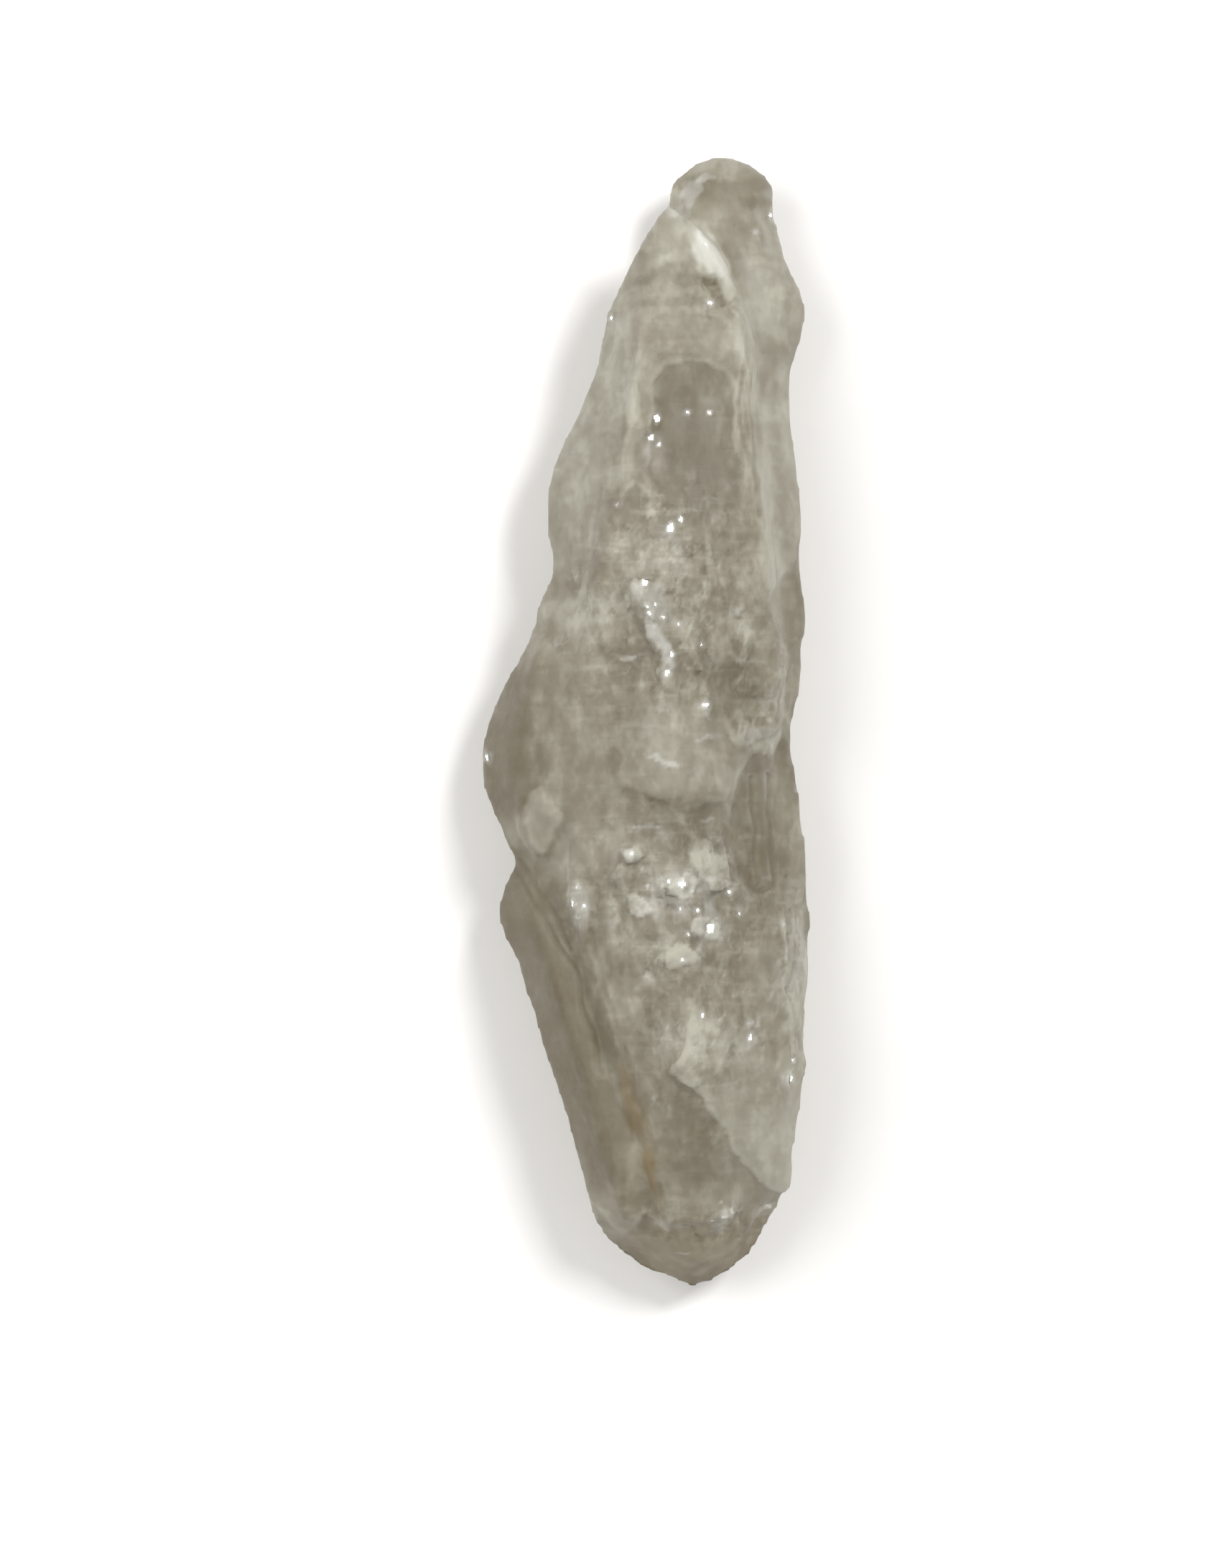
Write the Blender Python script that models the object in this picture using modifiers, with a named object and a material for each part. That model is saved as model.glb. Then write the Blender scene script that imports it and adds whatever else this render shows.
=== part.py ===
"""Prasiolite crystal: one rough, etched quartz crystal of pale green, lying on a flat prism face.

The crystal grew as several parallel individuals fused into one body: a main crystal with a sharp
termination, a clear round-ended lobe under its tip, a shoulder that bulges on the left, and a long
wing below the shoulder. Each individual is a loft through its own edges (its rails). They are joined,
remeshed into one skin, carved with growth steps, grooves and etch hillocks, and cut flat where the
crystal rests.

Frame: +Y runs from the broken base to the termination, +Z is up, and the origin is the middle of the
crystal's bounding box, on the surface that it rests on. Sizes are in millimetres until the crystal is
set in its frame, where they become metres.
"""

from dataclasses import dataclass

import bmesh
import bpy
import numpy as np
from mathutils import Matrix, Vector, noise

MM = 0.001

# Driving dimensions of the finished crystal.
LENGTH = 72.0
WIDTH = 21.1
THICKNESS = 14.6

# How the individuals are lofted and skinned.
STATION_STEP = 0.75
RAIL_ROUNDING = 0.9
WELD_REACH = 0.01
SKIN_VOXEL = 0.3
TRIANGLE_BUDGET = 8800

# The flat that the crystal rests on: how deep it is cut, and the block that cuts it, in metres.
REST_CUT = 0.22
GROUND_SIZE = 0.1

NODE_NAME = "prasiolite_crystal"
SHARP_ANGLE = 28.0


@dataclass
class Individual:
    """One crystal of the group. Each rail is one of its long edges, as (y, x, z) points from tip to base.
    The rails are listed in order round the section, and the first and last are its feet."""

    name: str
    rails: tuple


MAIN = Individual(
    "main",
    (
        # left foot, on the resting face
        ((32.7, 1.5, 8.9), (30.0, 0.9, 5.4), (24.0, 0.6, 1.8), (18.0, -0.6, 0.0), (9.0, -3.0, 0.0),
         (2.0, -2.0, 0.0), (-6.0, -3.4, 0.0), (-14.0, -2.4, 0.0), (-21.0, -1.8, 0.0), (-26.5, 0.2, 0.0),
         (-31.0, 0.8, 1.0), (-34.0, 1.6, 2.4), (-36.0, 2.9, 3.9)),
        # left edge
        ((32.7, 1.5, 9.0), (31.0, 0.1, 8.6), (27.9, -1.5, 7.7), (25.4, -2.7, 7.0), (22.6, -3.0, 6.6),
         (19.9, -4.0, 6.2), (17.1, -5.5, 5.8), (14.1, -6.4, 5.5), (10.0, -6.0, 5.4), (-10.0, -6.2, 5.2),
         (-20.0, -4.6, 5.0), (-31.0, -2.2, 5.0), (-33.9, -1.8, 4.6), (-35.3, 0.7, 4.3), (-36.0, 2.7, 4.0)),
        # left ridge
        ((32.7, 1.5, 9.0), (24.4, -0.5, 11.4), (16.7, -1.5, 12.8), (10.3, -2.6, 12.8), (3.5, -4.4, 12.0),
         (-4.3, -4.8, 11.4), (-11.0, -4.6, 11.6), (-18.9, -2.6, 11.9), (-27.1, 0.2, 11.3),
         (-31.2, 1.0, 10.0), (-34.0, 1.6, 7.2), (-36.0, 2.9, 4.2)),
        # crest
        ((32.7, 1.5, 9.0), (28.0, 2.4, 10.8), (24.0, 2.8, 11.9), (17.0, 3.0, 12.9), (9.0, 1.8, 14.0),
         (3.0, 1.4, 14.5), (-4.0, 1.8, 14.2), (-12.0, 2.6, 13.6), (-20.0, 3.4, 13.0), (-27.0, 3.8, 12.0),
         (-31.0, 3.8, 10.7), (-33.5, 3.6, 8.6), (-35.2, 3.4, 6.2), (-36.0, 3.0, 4.2)),
        # right ridge
        ((32.7, 1.5, 9.0), (31.0, 3.2, 9.3), (29.3, 4.5, 9.8), (26.8, 5.5, 10.5), (24.1, 6.4, 11.3),
         (20.9, 6.6, 11.9), (15.7, 6.8, 12.1), (10.3, 7.2, 11.3), (5.0, 8.0, 10.2), (0.0, 8.2, 9.6),
         (-5.0, 7.8, 9.2), (-15.0, 8.6, 9.2), (-20.0, 8.5, 9.0), (-25.0, 8.0, 8.8), (-29.5, 7.2, 8.2),
         (-32.0, 6.6, 7.6), (-34.0, 5.4, 6.6), (-36.0, 3.0, 4.2)),
        # right edge
        ((32.7, 1.5, 9.0), (29.3, 5.2, 7.6), (24.1, 7.2, 6.4), (15.7, 7.8, 5.2), (8.0, 9.0, 4.4),
         (4.2, 9.4, 4.5), (0.0, 9.1, 5.4), (-1.4, 8.9, 5.7), (-4.4, 9.5, 6.2), (-8.0, 10.1, 6.0),
         (-10.7, 10.0, 5.3), (-14.5, 10.6, 4.2), (-19.0, 10.0, 3.7), (-23.6, 9.5, 4.3), (-27.2, 8.9, 5.2),
         (-30.0, 9.0, 5.6), (-31.0, 8.6, 5.4), (-33.5, 6.8, 4.9), (-35.3, 5.9, 4.3), (-36.0, 3.2, 4.0)),
        # right foot, on the resting face
        ((32.7, 1.5, 8.9), (30.0, 3.0, 5.0), (24.0, 4.2, 1.6), (18.0, 4.2, 0.0), (11.0, 4.6, 0.0),
         (4.0, 6.2, 0.0), (-6.0, 5.2, 0.0), (-14.0, 6.4, 0.0), (-22.0, 5.8, 0.0), (-26.5, 4.6, 0.0),
         (-31.0, 4.6, 1.0), (-34.0, 4.2, 2.4), (-36.0, 3.0, 3.9)),
    ),
)

LOBE = Individual(
    "lobe",
    (
        ((36.0, 5.2, 4.4), (35.0, 4.0, 3.0), (33.0, 3.2, 2.0), (28.0, 3.0, 1.2), (8.0, 4.5, 0.8),
         (-2.0, 5.5, 1.2)),
        ((36.0, 5.1, 4.6), (35.8, 2.8, 4.6), (35.2, 1.8, 4.5), (34.2, 1.5, 4.4), (33.0, 1.5, 4.3),
         (26.0, 0.8, 4.0), (10.0, 2.0, 4.0), (-2.0, 4.0, 4.0)),
        ((36.0, 5.2, 4.7), (35.4, 4.2, 5.8), (34.2, 3.2, 6.7), (32.0, 2.6, 7.3), (27.0, 3.0, 7.6),
         (10.0, 4.5, 7.8), (-2.0, 6.0, 7.6)),
        ((36.0, 5.4, 4.7), (35.3, 6.3, 5.6), (34.0, 7.0, 6.2), (32.0, 7.0, 6.6), (29.0, 7.6, 6.9),
         (26.5, 8.6, 6.8), (22.3, 8.0, 6.8), (15.7, 8.2, 7.0), (4.0, 8.8, 6.9), (-2.0, 8.6, 6.6)),
        ((36.0, 5.5, 4.5), (35.5, 7.3, 4.2), (34.7, 8.3, 3.8), (33.5, 8.4, 3.5), (31.6, 8.4, 3.5),
         (29.3, 9.1, 4.1), (27.9, 10.0, 4.6), (26.5, 10.5, 4.8), (24.7, 10.2, 4.6), (22.3, 9.1, 3.9),
         (19.2, 9.1, 3.4), (15.7, 9.5, 3.5), (12.0, 9.8, 4.3), (8.7, 10.0, 4.9), (5.8, 10.4, 4.9),
         (4.2, 9.9, 4.7), (-2.0, 8.6, 5.0)),
        ((36.0, 5.4, 4.4), (35.0, 6.2, 3.0), (33.0, 6.6, 1.8), (28.0, 7.6, 1.0), (20.0, 7.4, 0.6),
         (8.0, 7.6, 0.6), (-2.0, 7.4, 1.2)),
    ),
)

SHOULDER = Individual(
    "shoulder",
    (
        ((10.2, -3.0, 3.4), (4.0, -2.0, 2.0), (-12.0, -2.0, 3.0)),
        ((10.2, -4.8, 3.8), (5.0, -5.4, 1.8), (-2.0, -7.0, 1.2), (-8.0, -6.2, 1.8), (-12.0, -4.6, 3.2)),
        ((10.2, -5.4, 5.8), (9.3, -6.1, 5.9), (8.2, -7.0, 5.8), (4.8, -7.4, 4.9), (3.0, -8.7, 4.5),
         (0.0, -10.0, 4.0), (-1.8, -10.5, 4.0), (-3.5, -10.5, 4.3), (-4.9, -10.2, 4.8), (-8.2, -8.6, 5.7),
         (-12.0, -6.0, 5.8)),
        ((10.2, -5.0, 7.6), (5.0, -6.4, 9.2), (0.0, -7.8, 9.0), (-3.5, -8.2, 8.6), (-8.0, -7.0, 8.2),
         (-12.0, -5.2, 8.0)),
        ((10.2, -3.6, 9.6), (5.0, -4.6, 11.6), (0.0, -4.8, 11.7), (-5.0, -4.8, 11.2), (-12.0, -3.6, 10.0)),
    ),
)

WING = Individual(
    "wing",
    (
        ((-7.6, -5.0, 4.0), (-12.0, -2.0, 3.0), (-28.0, 1.0, 2.0), (-34.6, 1.0, 3.8)),
        ((-7.6, -6.2, 4.0), (-12.0, -6.6, 1.9), (-20.0, -4.4, 1.0), (-28.0, -1.8, 1.0), (-33.0, -0.6, 2.6),
         (-34.6, 0.4, 3.7)),
        ((-7.6, -7.4, 5.2), (-9.2, -8.5, 4.8), (-10.5, -9.0, 4.4), (-12.0, -9.4, 4.1), (-13.3, -9.1, 4.0),
         (-15.6, -7.9, 4.3), (-17.0, -7.6, 4.7), (-20.6, -6.4, 5.5), (-25.5, -4.9, 5.7), (-31.1, -3.4, 5.0),
         (-32.6, -3.1, 4.8), (-33.9, -1.9, 4.4), (-34.6, -0.7, 4.1)),
        ((-7.6, -6.8, 6.8), (-12.0, -7.2, 8.8), (-16.0, -5.8, 9.8), (-22.0, -3.9, 10.2), (-28.0, -2.2, 9.9),
         (-31.5, -1.2, 8.5), (-33.6, -0.6, 6.0), (-34.6, 0.2, 4.8)),
        ((-7.6, -5.0, 8.8), (-12.0, -3.8, 10.4), (-22.0, -1.4, 10.9), (-28.0, 0.2, 10.4), (-31.5, 1.0, 8.8),
         (-34.6, 1.0, 4.8)),
    ),
)

GROUP = (MAIN, LOBE, SHOULDER, WING)


@dataclass
class Nub:
    """A small crystal grown on the skin: a six-sided tapered prism. Angles are in degrees."""

    x: float
    y: float
    z: float
    radius: float
    length: float
    lean: float
    heading: float


NUBS = (
    # the cluster of clear nubs in the middle of the lower half
    Nub(x=3.8, y=-8.8, z=12.9, radius=1.25, length=3.8, lean=76.0, heading=6.0),
    Nub(x=1.9, y=-10.0, z=13.2, radius=1.05, length=2.8, lean=60.0, heading=112.0),
    Nub(x=5.4, y=-10.6, z=11.6, radius=0.95, length=2.8, lean=58.0, heading=-34.0),
    Nub(x=3.0, y=-12.3, z=13.0, radius=1.15, length=2.8, lean=62.0, heading=-160.0),
    Nub(x=-1.2, y=-10.2, z=12.6, radius=0.90, length=2.4, lean=66.0, heading=24.0),
    Nub(x=-0.8, y=-8.0, z=13.1, radius=0.85, length=2.0, lean=52.0, heading=150.0),
    Nub(x=1.5, y=-14.6, z=12.9, radius=1.00, length=2.8, lean=72.0, heading=100.0),
    # the bright nub beside the furrows
    Nub(x=-4.3, y=-10.8, z=11.1, radius=0.95, length=3.2, lean=80.0, heading=176.0),
    # the frosted ridge above the middle, and its neighbours
    Nub(x=0.6, y=5.6, z=14.0, radius=1.05, length=6.0, lean=84.0, heading=197.0),
    Nub(x=-0.3, y=8.2, z=13.6, radius=0.95, length=2.4, lean=60.0, heading=60.0),
    Nub(x=2.9, y=4.2, z=13.6, radius=0.80, length=3.0, lean=80.0, heading=205.0),
    Nub(x=3.6, y=0.9, z=12.9, radius=0.85, length=2.6, lean=78.0, heading=-20.0),
    # single heads
    Nub(x=0.6, y=18.6, z=12.7, radius=0.95, length=2.2, lean=60.0, heading=140.0),
    Nub(x=1.7, y=12.0, z=13.2, radius=0.85, length=2.2, lean=66.0, heading=-60.0),
    Nub(x=8.2, y=-20.8, z=8.6, radius=1.00, length=3.0, lean=72.0, heading=-20.0),
    Nub(x=4.6, y=-30.8, z=9.9, radius=0.90, length=2.0, lean=70.0, heading=60.0),
)


@dataclass
class Step:
    """A growth step on the skin, seen from above (side 1) or from below (side -1). The skin inside the
    outline, a closed smooth curve through the (x, y) points, is raised by rise, or sunk if it is negative.
    The step runs out to nothing between the two y values of fade, from the first to the second."""

    outline: tuple
    rise: float
    side: int = 1
    fade: tuple = ()


STEPS = (
    # outer and inner terraces of the arched window below the termination
    Step(((2.7, 25.4), (0.2, 24.0), (-0.5, 20.0), (-0.7, 14.0), (0.4, 6.0), (5.6, 6.0), (6.2, 14.0),
          (6.0, 21.0), (5.0, 24.4)), -0.28, fade=(15.0, 8.0)),
    Step(((2.8, 23.0), (0.8, 22.4), (0.3, 20.0), (0.4, 15.0), (1.6, 10.0), (4.8, 10.0), (6.2, 14.6),
          (5.4, 18.0), (5.0, 21.6)), -0.38, fade=(15.0, 11.0)),
    # frosted slab on the lobe, beside the main crystal
    Step(((7.2, 19.0), (7.0, 12.0), (7.5, 8.3), (8.6, 8.9), (9.6, 12.0), (10.6, 18.0), (9.0, 24.0)), 0.35,
         fade=(17.0, 22.0)),
    # rounded head with a dimple, left of the window
    Step(((-0.7, 14.9), (-2.0, 14.2), (-1.4, 12.7), (0.3, 13.2)), 0.24),
    Step(((-0.7, 14.4), (-1.4, 13.9), (-0.9, 13.1), (-0.1, 13.6)), -0.18),
    # pit at the foot of the termination's frosted facet
    Step(((3.9, 28.1), (3.4, 27.5), (4.0, 26.9), (4.5, 27.5)), -0.55),
    # pits in the end of the lobe
    Step(((2.6, 34.4), (2.0, 33.8), (2.7, 33.2), (3.3, 33.8)), -0.45),
    Step(((7.8, 32.6), (7.2, 32.1), (7.7, 31.3), (8.3, 31.9)), -0.45),
    # sunk clear pane on the right, below the central terrace
    Step(((8.6, -1.0), (6.0, -2.4), (5.2, -6.0), (5.6, -9.4), (7.4, -10.6), (9.2, -8.0), (9.4, -3.6)), -0.48),
    # the foot of the central terrace
    Step(((0.8, 2.6), (3.8, 2.2), (6.0, -1.0), (6.3, -2.4), (5.2, -5.0), (1.6, -4.9), (-1.4, -4.5),
          (-2.0, -2.8), (-0.6, 0.4)), 0.40, fade=(-4.2, 1.0)),
    # three-sided pane under the cross ledge
    Step(((-2.9, 4.0), (-0.3, 4.3), (-1.4, 1.2)), -0.26),
    # frosted block right of the ridge of nubs
    Step(((6.4, 8.6), (9.0, 6.4), (8.2, 2.2), (6.2, 1.8), (5.2, 4.4)), 0.30, fade=(3.0, 8.0)),
    # flat facet between the shoulder and the ridge of nubs
    Step(((-5.8, 6.6), (-3.4, 7.4), (-2.6, 2.0), (-3.6, -3.4), (-5.8, -2.6), (-6.2, 2.4)), -0.20),
    # pale facet on the shoulder
    Step(((-7.4, -4.2), (-6.1, -4.6), (-5.6, -6.0), (-6.7, -8.5), (-7.8, -6.6)), 0.38),
    # tongue on the lower right
    Step(((2.2, -20.0), (1.3, -21.9), (3.1, -22.9), (4.2, -24.7), (5.3, -26.8), (7.2, -29.0), (9.4, -29.4),
          (12.4, -26.0), (12.4, -12.0), (7.0, -12.0), (3.6, -16.0)), 0.56, fade=(-21.0, -15.0)),
    # broken base, below its rim
    Step(((-3.6, -32.6), (0.0, -31.9), (4.4, -31.4), (9.6, -30.2), (10.0, -34.0), (4.0, -38.0),
          (-3.6, -37.0)), -0.34),
    # panes and plates on the underside
    Step(((-5.4, 14.0), (-2.2, 15.4), (-1.2, 8.0), (-3.0, -1.0), (-8.6, -4.6), (-8.0, 3.0)), -0.50, -1),
    Step(((5.4, 4.0), (9.6, 5.0), (10.6, -9.0), (8.8, -20.0), (5.8, -15.0), (6.4, -6.0)), 0.45, -1),
    Step(((-4.6, -12.0), (-8.6, -12.6), (-6.4, -20.0), (-3.2, -27.0), (-0.4, -24.0), (-2.4, -17.0)),
         -0.50, -1),
    Step(((4.0, 33.6), (7.4, 33.0), (9.0, 26.4), (7.2, 19.0), (5.2, 24.0)), 0.35, -1),
    Step(((0.4, 17.0), (2.6, 18.6), (4.6, 14.0), (3.4, 8.4), (1.2, 11.0)), -0.60, -1),
    Step(((0.2, -8.0), (2.6, -6.4), (3.6, -10.0), (2.0, -14.4), (0.4, -12.0)), -0.55, -1),
    Step(((1.4, -24.0), (4.4, -22.6), (6.4, -27.0), (4.0, -31.0), (1.6, -29.0)), -0.50, -1),
)


@dataclass
class Groove:
    """An etched groove along a line of (x, y) points on the upper side."""

    line: tuple
    depth: float
    half_width: float


GROOVES = (
    # furrows of the wing, from the notch under the shoulder down to the base
    Groove(((-8.2, -8.2), (-6.2, -13.0), (-4.3, -17.6), (-2.2, -22.6), (-0.6, -27.2), (0.4, -31.0)),
           0.24, 0.55),
    Groove(((-7.6, -8.0), (-5.0, -13.4), (-2.9, -18.0), (-1.0, -22.6), (0.6, -27.4), (1.6, -31.0)),
           0.20, 0.45),
    Groove(((-3.8, -11.6), (-2.2, -16.0), (-0.6, -20.4), (1.0, -25.0), (2.2, -29.4)), 0.20, 0.50),
    Groove(((0.4, -13.6), (0.3, -17.4), (1.0, -21.6)), 0.24, 0.70),
    # the line between the termination's frosted facet and its pale face
    Groove(((2.6, 31.4), (3.4, 29.4), (4.4, 27.6), (4.6, 26.0)), 0.30, 0.35),
    # the long edge line of the left flank
    Groove(((-0.9, 24.6), (-1.5, 20.6), (-2.0, 16.4), (-2.6, 12.0)), 0.22, 0.40),
    # the seam between shoulder and main crystal
    Groove(((-5.6, 9.2), (-5.9, 6.0), (-6.4, 2.0), (-6.6, -2.0), (-6.9, -5.4)), 0.28, 0.45),
    # shallow furrows of the clear pane on the right
    Groove(((6.6, -3.4), (6.8, -8.0), (7.6, -12.6), (8.8, -17.0)), 0.30, 0.35),
    Groove(((8.0, -2.0), (8.2, -7.0), (8.4, -11.6)), 0.25, 0.30),
)

# Width of a step's riser, and the slope over which a feature of one side runs out.
STEP_EDGE = 0.35
SIDE_BLEND = 0.25
# How far the steps and grooves wander from their lines, and over what length.
WANDER_SIZE = 2.4
WANDER_REACH = 0.45
WANDER_SHIFT = Vector((31.4, 17.7, 5.3))
# Etch hillocks and the slow ripples under them. Their shares of y stretch them along the crystal.
HILLOCK_SIZE = 2.1
HILLOCK_HEIGHT = 0.24
HILLOCK_STRETCH = 0.6
RIPPLE_SIZE = 5.5
RIPPLE_HEIGHT = 0.24
RIPPLE_STRETCH = 0.45

# Where the etching is faint: underneath, and on smooth stretches of face given as (x, y, radius).
UNDERSIDE_EASE = 0.4
FAINTEST_ETCH = 0.15
FLANK_STRETCH = 0.6
GLASSY_FLANKS = (
    (-3.8, 20.0, 3.2),
    (-4.4, 13.6, 3.2),
    (0.4, 28.6, 3.4),
    (7.8, 26.0, 3.4),
    (8.6, 14.0, 2.6),
    (-8.6, 1.0, 3.2),
    (-7.6, -13.0, 2.4),
    (-5.6, -20.0, 3.2),
    (-3.4, -27.0, 3.2),
    (7.4, -25.6, 3.6),
    (7.2, -6.0, 2.2),
    (3.2, -27.0, 2.0),
)


def clear_scene():
    """Removes the objects that a new scene opens with."""
    for thing in list(bpy.data.objects):
        bpy.data.objects.remove(thing)


def rail_through(rail, stations):
    """Points (x, z) of a rail at each station, with its bends rounded."""
    y, x, z = np.array(sorted(rail)).T
    offsets = np.linspace(-RAIL_ROUNDING, RAIL_ROUNDING, 5)
    low, high = stations.min(), stations.max()
    rounded = []
    for values in (x, z):
        reach = np.minimum(stations - low, high - stations) / RAIL_ROUNDING
        spread = offsets[:, None] * np.clip(reach, 0.0, 1.0)
        rounded.append(np.interp(stations + spread, y, values).mean(axis=0))
    return np.array(rounded).T


def stations_of(individual):
    """Y of each section: closer together near the two ends, where the sections shrink fast."""
    low = min(point[0] for point in individual.rails[0])
    high = max(point[0] for point in individual.rails[0])
    count = int((high - low) / STATION_STEP)
    along = (1.0 - np.cos(np.linspace(0.0, np.pi, count))) / 2.0
    return low + (high - low) * along


def loft(individual):
    """A closed mesh object through the sections of one individual."""
    stations = stations_of(individual)
    rails = [rail_through(rail, stations) for rail in individual.rails]
    mesh = bmesh.new()
    sections = []
    for index, y in enumerate(stations):
        sections.append([mesh.verts.new((rail[index][0], y, rail[index][1])) for rail in rails])
    corners = len(rails)
    for near, far in zip(sections, sections[1:]):
        for i in range(corners):
            j = (i + 1) % corners
            mesh.faces.new((near[i], near[j], far[j], far[i]))
    mesh.faces.new(sections[0])
    mesh.faces.new(sections[-1])
    bmesh.ops.remove_doubles(mesh, verts=mesh.verts, dist=WELD_REACH)
    bmesh.ops.recalc_face_normals(mesh, faces=mesh.faces)
    return object_from(mesh, individual.name)


def object_from(mesh, name):
    """A scene object that holds a finished bmesh."""
    data = bpy.data.meshes.new(name)
    mesh.to_mesh(data)
    mesh.free()
    made = bpy.data.objects.new(name, data)
    bpy.context.scene.collection.objects.link(made)
    return made


def nub_solid(nub, index):
    """One small crystal: a hexagonal cone primitive that leans out of the skin."""
    mesh = bmesh.new()
    bmesh.ops.create_cone(
        mesh,
        cap_ends=True,
        segments=6,
        radius1=nub.radius,
        radius2=nub.radius * 0.35,
        depth=nub.length,
    )
    turn = Matrix.Rotation(np.radians(nub.heading), 4, "Z") @ Matrix.Rotation(np.radians(-nub.lean), 4, "X")
    bmesh.ops.transform(mesh, matrix=Matrix.Translation((nub.x, nub.y, nub.z)) @ turn, verts=mesh.verts)
    return object_from(mesh, f"nub_{index}")


def evaluated_mesh(thing):
    """The object's mesh with its modifiers applied."""
    graph = bpy.context.evaluated_depsgraph_get()
    return bpy.data.meshes.new_from_object(thing.evaluated_get(graph))


def joined(things):
    """One object that is the Boolean union of all of them."""
    body = things[0]
    for other in things[1:]:
        union = body.modifiers.new(f"union_{other.name}", "BOOLEAN")
        union.operation = "UNION"
        union.solver = "EXACT"
        union.object = other
        body_mesh = evaluated_mesh(body)
        body.modifiers.clear()
        body.data = body_mesh
        bpy.data.objects.remove(other)
    return body


def reskinned(body):
    """The body under an even skin of small quads, which the relief can move."""
    remesh = body.modifiers.new("skin", "REMESH")
    remesh.mode = "VOXEL"
    remesh.voxel_size = SKIN_VOXEL
    body.data = evaluated_mesh(body)
    body.modifiers.clear()
    return body


def smooth_loop(points, per_span=6):
    """A closed Catmull-Rom curve through the points, as (x, y) samples."""
    knots = np.array(points)
    before, after, beyond = (np.roll(knots, shift, axis=0) for shift in (1, -1, -2))
    t = (np.arange(per_span) / per_span)[:, None, None]
    curve = 0.5 * (
        2 * knots
        + (after - before) * t
        + (2 * before - 5 * knots + 4 * after - beyond) * t**2
        + (3 * knots - before - 3 * after + beyond) * t**3
    )
    return curve.transpose(1, 0, 2).reshape(-1, 2)


def distance_to_line(points, line, closed):
    """Distance in plan from each point to a line of straight pieces."""
    corners = np.array(line)
    ends = np.roll(corners, -1, axis=0) if closed else corners[1:]
    starts = corners if closed else corners[:-1]
    nearest = np.full(len(points), np.inf)
    for start, end in zip(starts, ends):
        along = end - start
        share = np.clip(((points - start) @ along) / (along @ along), 0.0, 1.0)
        nearest = np.minimum(nearest, np.linalg.norm(points - start - share[:, None] * along, axis=1))
    return nearest


def inside_loop(points, loop):
    """True for each point that lies inside a closed loop, seen in plan."""
    crossings = np.zeros(len(points), int)
    for (ax, ay), (bx, by) in zip(loop, np.roll(loop, -1, axis=0)):
        if ay == by:
            continue
        spans = (points[:, 1] < ay) != (points[:, 1] < by)
        at = ax + (points[:, 1] - ay) * (bx - ax) / (by - ay)
        crossings += spans & (points[:, 0] < at)
    return crossings % 2 == 1


def facing(normals, side):
    """How far each point of the skin belongs to one side, from 0 to 1."""
    return np.clip(normals[:, 2] * side / SIDE_BLEND, 0.0, 1.0)


def wandering_plan(points):
    """Each point in plan, moved a little, so that steps and grooves have natural, uneven edges."""
    plan = points[:, :2].copy()
    for index, (x, y, _) in enumerate(points):
        place = Vector((x, y, 0.0)) / WANDER_SIZE
        drift = (noise.noise(place + WANDER_SHIFT), noise.noise(place - WANDER_SHIFT))
        plan[index] += WANDER_REACH * np.array(drift)
    return plan


def step_relief(step, plan, normals):
    """Offset along the normal that one growth step gives each point."""
    loop = smooth_loop(step.outline)
    reach = distance_to_line(plan, loop, closed=True)
    signed = np.where(inside_loop(plan, loop), reach, -reach)
    share = np.clip(0.5 + signed / STEP_EDGE, 0.0, 1.0)
    if step.fade:
        full, gone = step.fade
        share *= np.clip((plan[:, 1] - gone) / (full - gone), 0.0, 1.0)
    return step.rise * share * facing(normals, step.side)


def groove_relief(groove, plan, normals):
    """Offset along the normal that one groove gives each point."""
    reach = distance_to_line(plan, groove.line, closed=False) / groove.half_width
    return -groove.depth * np.clip(1.0 - reach**2, 0.0, 1.0) * facing(normals, 1)


def etch_strength(points, normals):
    """How deeply the skin is etched: fully in the middle, faintly on the glassy flanks and underneath."""
    strength = 1.0 - UNDERSIDE_EASE * facing(normals, -1)
    for x, y, radius in GLASSY_FLANKS:
        away = np.hypot(points[:, 0] - x, (points[:, 1] - y) * FLANK_STRETCH) / radius
        strength = np.minimum(strength, np.clip(away, FAINTEST_ETCH, 1.0))
    return strength


def etch_relief(points, normals):
    """Faceted hillocks, stretched along the crystal, on slow ripples."""
    relief = np.empty(len(points))
    for index, (x, y, z) in enumerate(points):
        cell = Vector((x, y * HILLOCK_STRETCH, z)) / HILLOCK_SIZE
        distances, _ = noise.voronoi(cell, distance_metric="MANHATTAN")
        ripple = noise.noise(Vector((x, y * RIPPLE_STRETCH, z)) / RIPPLE_SIZE)
        relief[index] = HILLOCK_HEIGHT * (0.5 - distances[0]) + RIPPLE_HEIGHT * ripple
    return relief * etch_strength(points, normals)


def carve(body):
    """Moves the skin along its normals by the growth steps, the grooves and the etching."""
    mesh = body.data
    points = np.empty(len(mesh.vertices) * 3)
    normals = np.empty(len(mesh.vertices) * 3)
    mesh.vertices.foreach_get("co", points)
    mesh.vertices.foreach_get("normal", normals)
    points, normals = points.reshape(-1, 3), normals.reshape(-1, 3)
    offset = etch_relief(points, normals)
    plan = wandering_plan(points)
    for step in STEPS:
        offset += step_relief(step, plan, normals)
    for groove in GROOVES:
        offset += groove_relief(groove, plan, normals)
    mesh.vertices.foreach_set("co", (points + normals * offset[:, None]).ravel())
    mesh.update()


def thinned(body):
    """Fewer triangles, kept where the skin bends."""
    triangles = sum(len(face.vertices) - 2 for face in body.data.polygons)
    fewer = body.modifiers.new("fewer", "DECIMATE")
    fewer.ratio = TRIANGLE_BUDGET / triangles
    body.data = evaluated_mesh(body)
    body.modifiers.clear()


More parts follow.
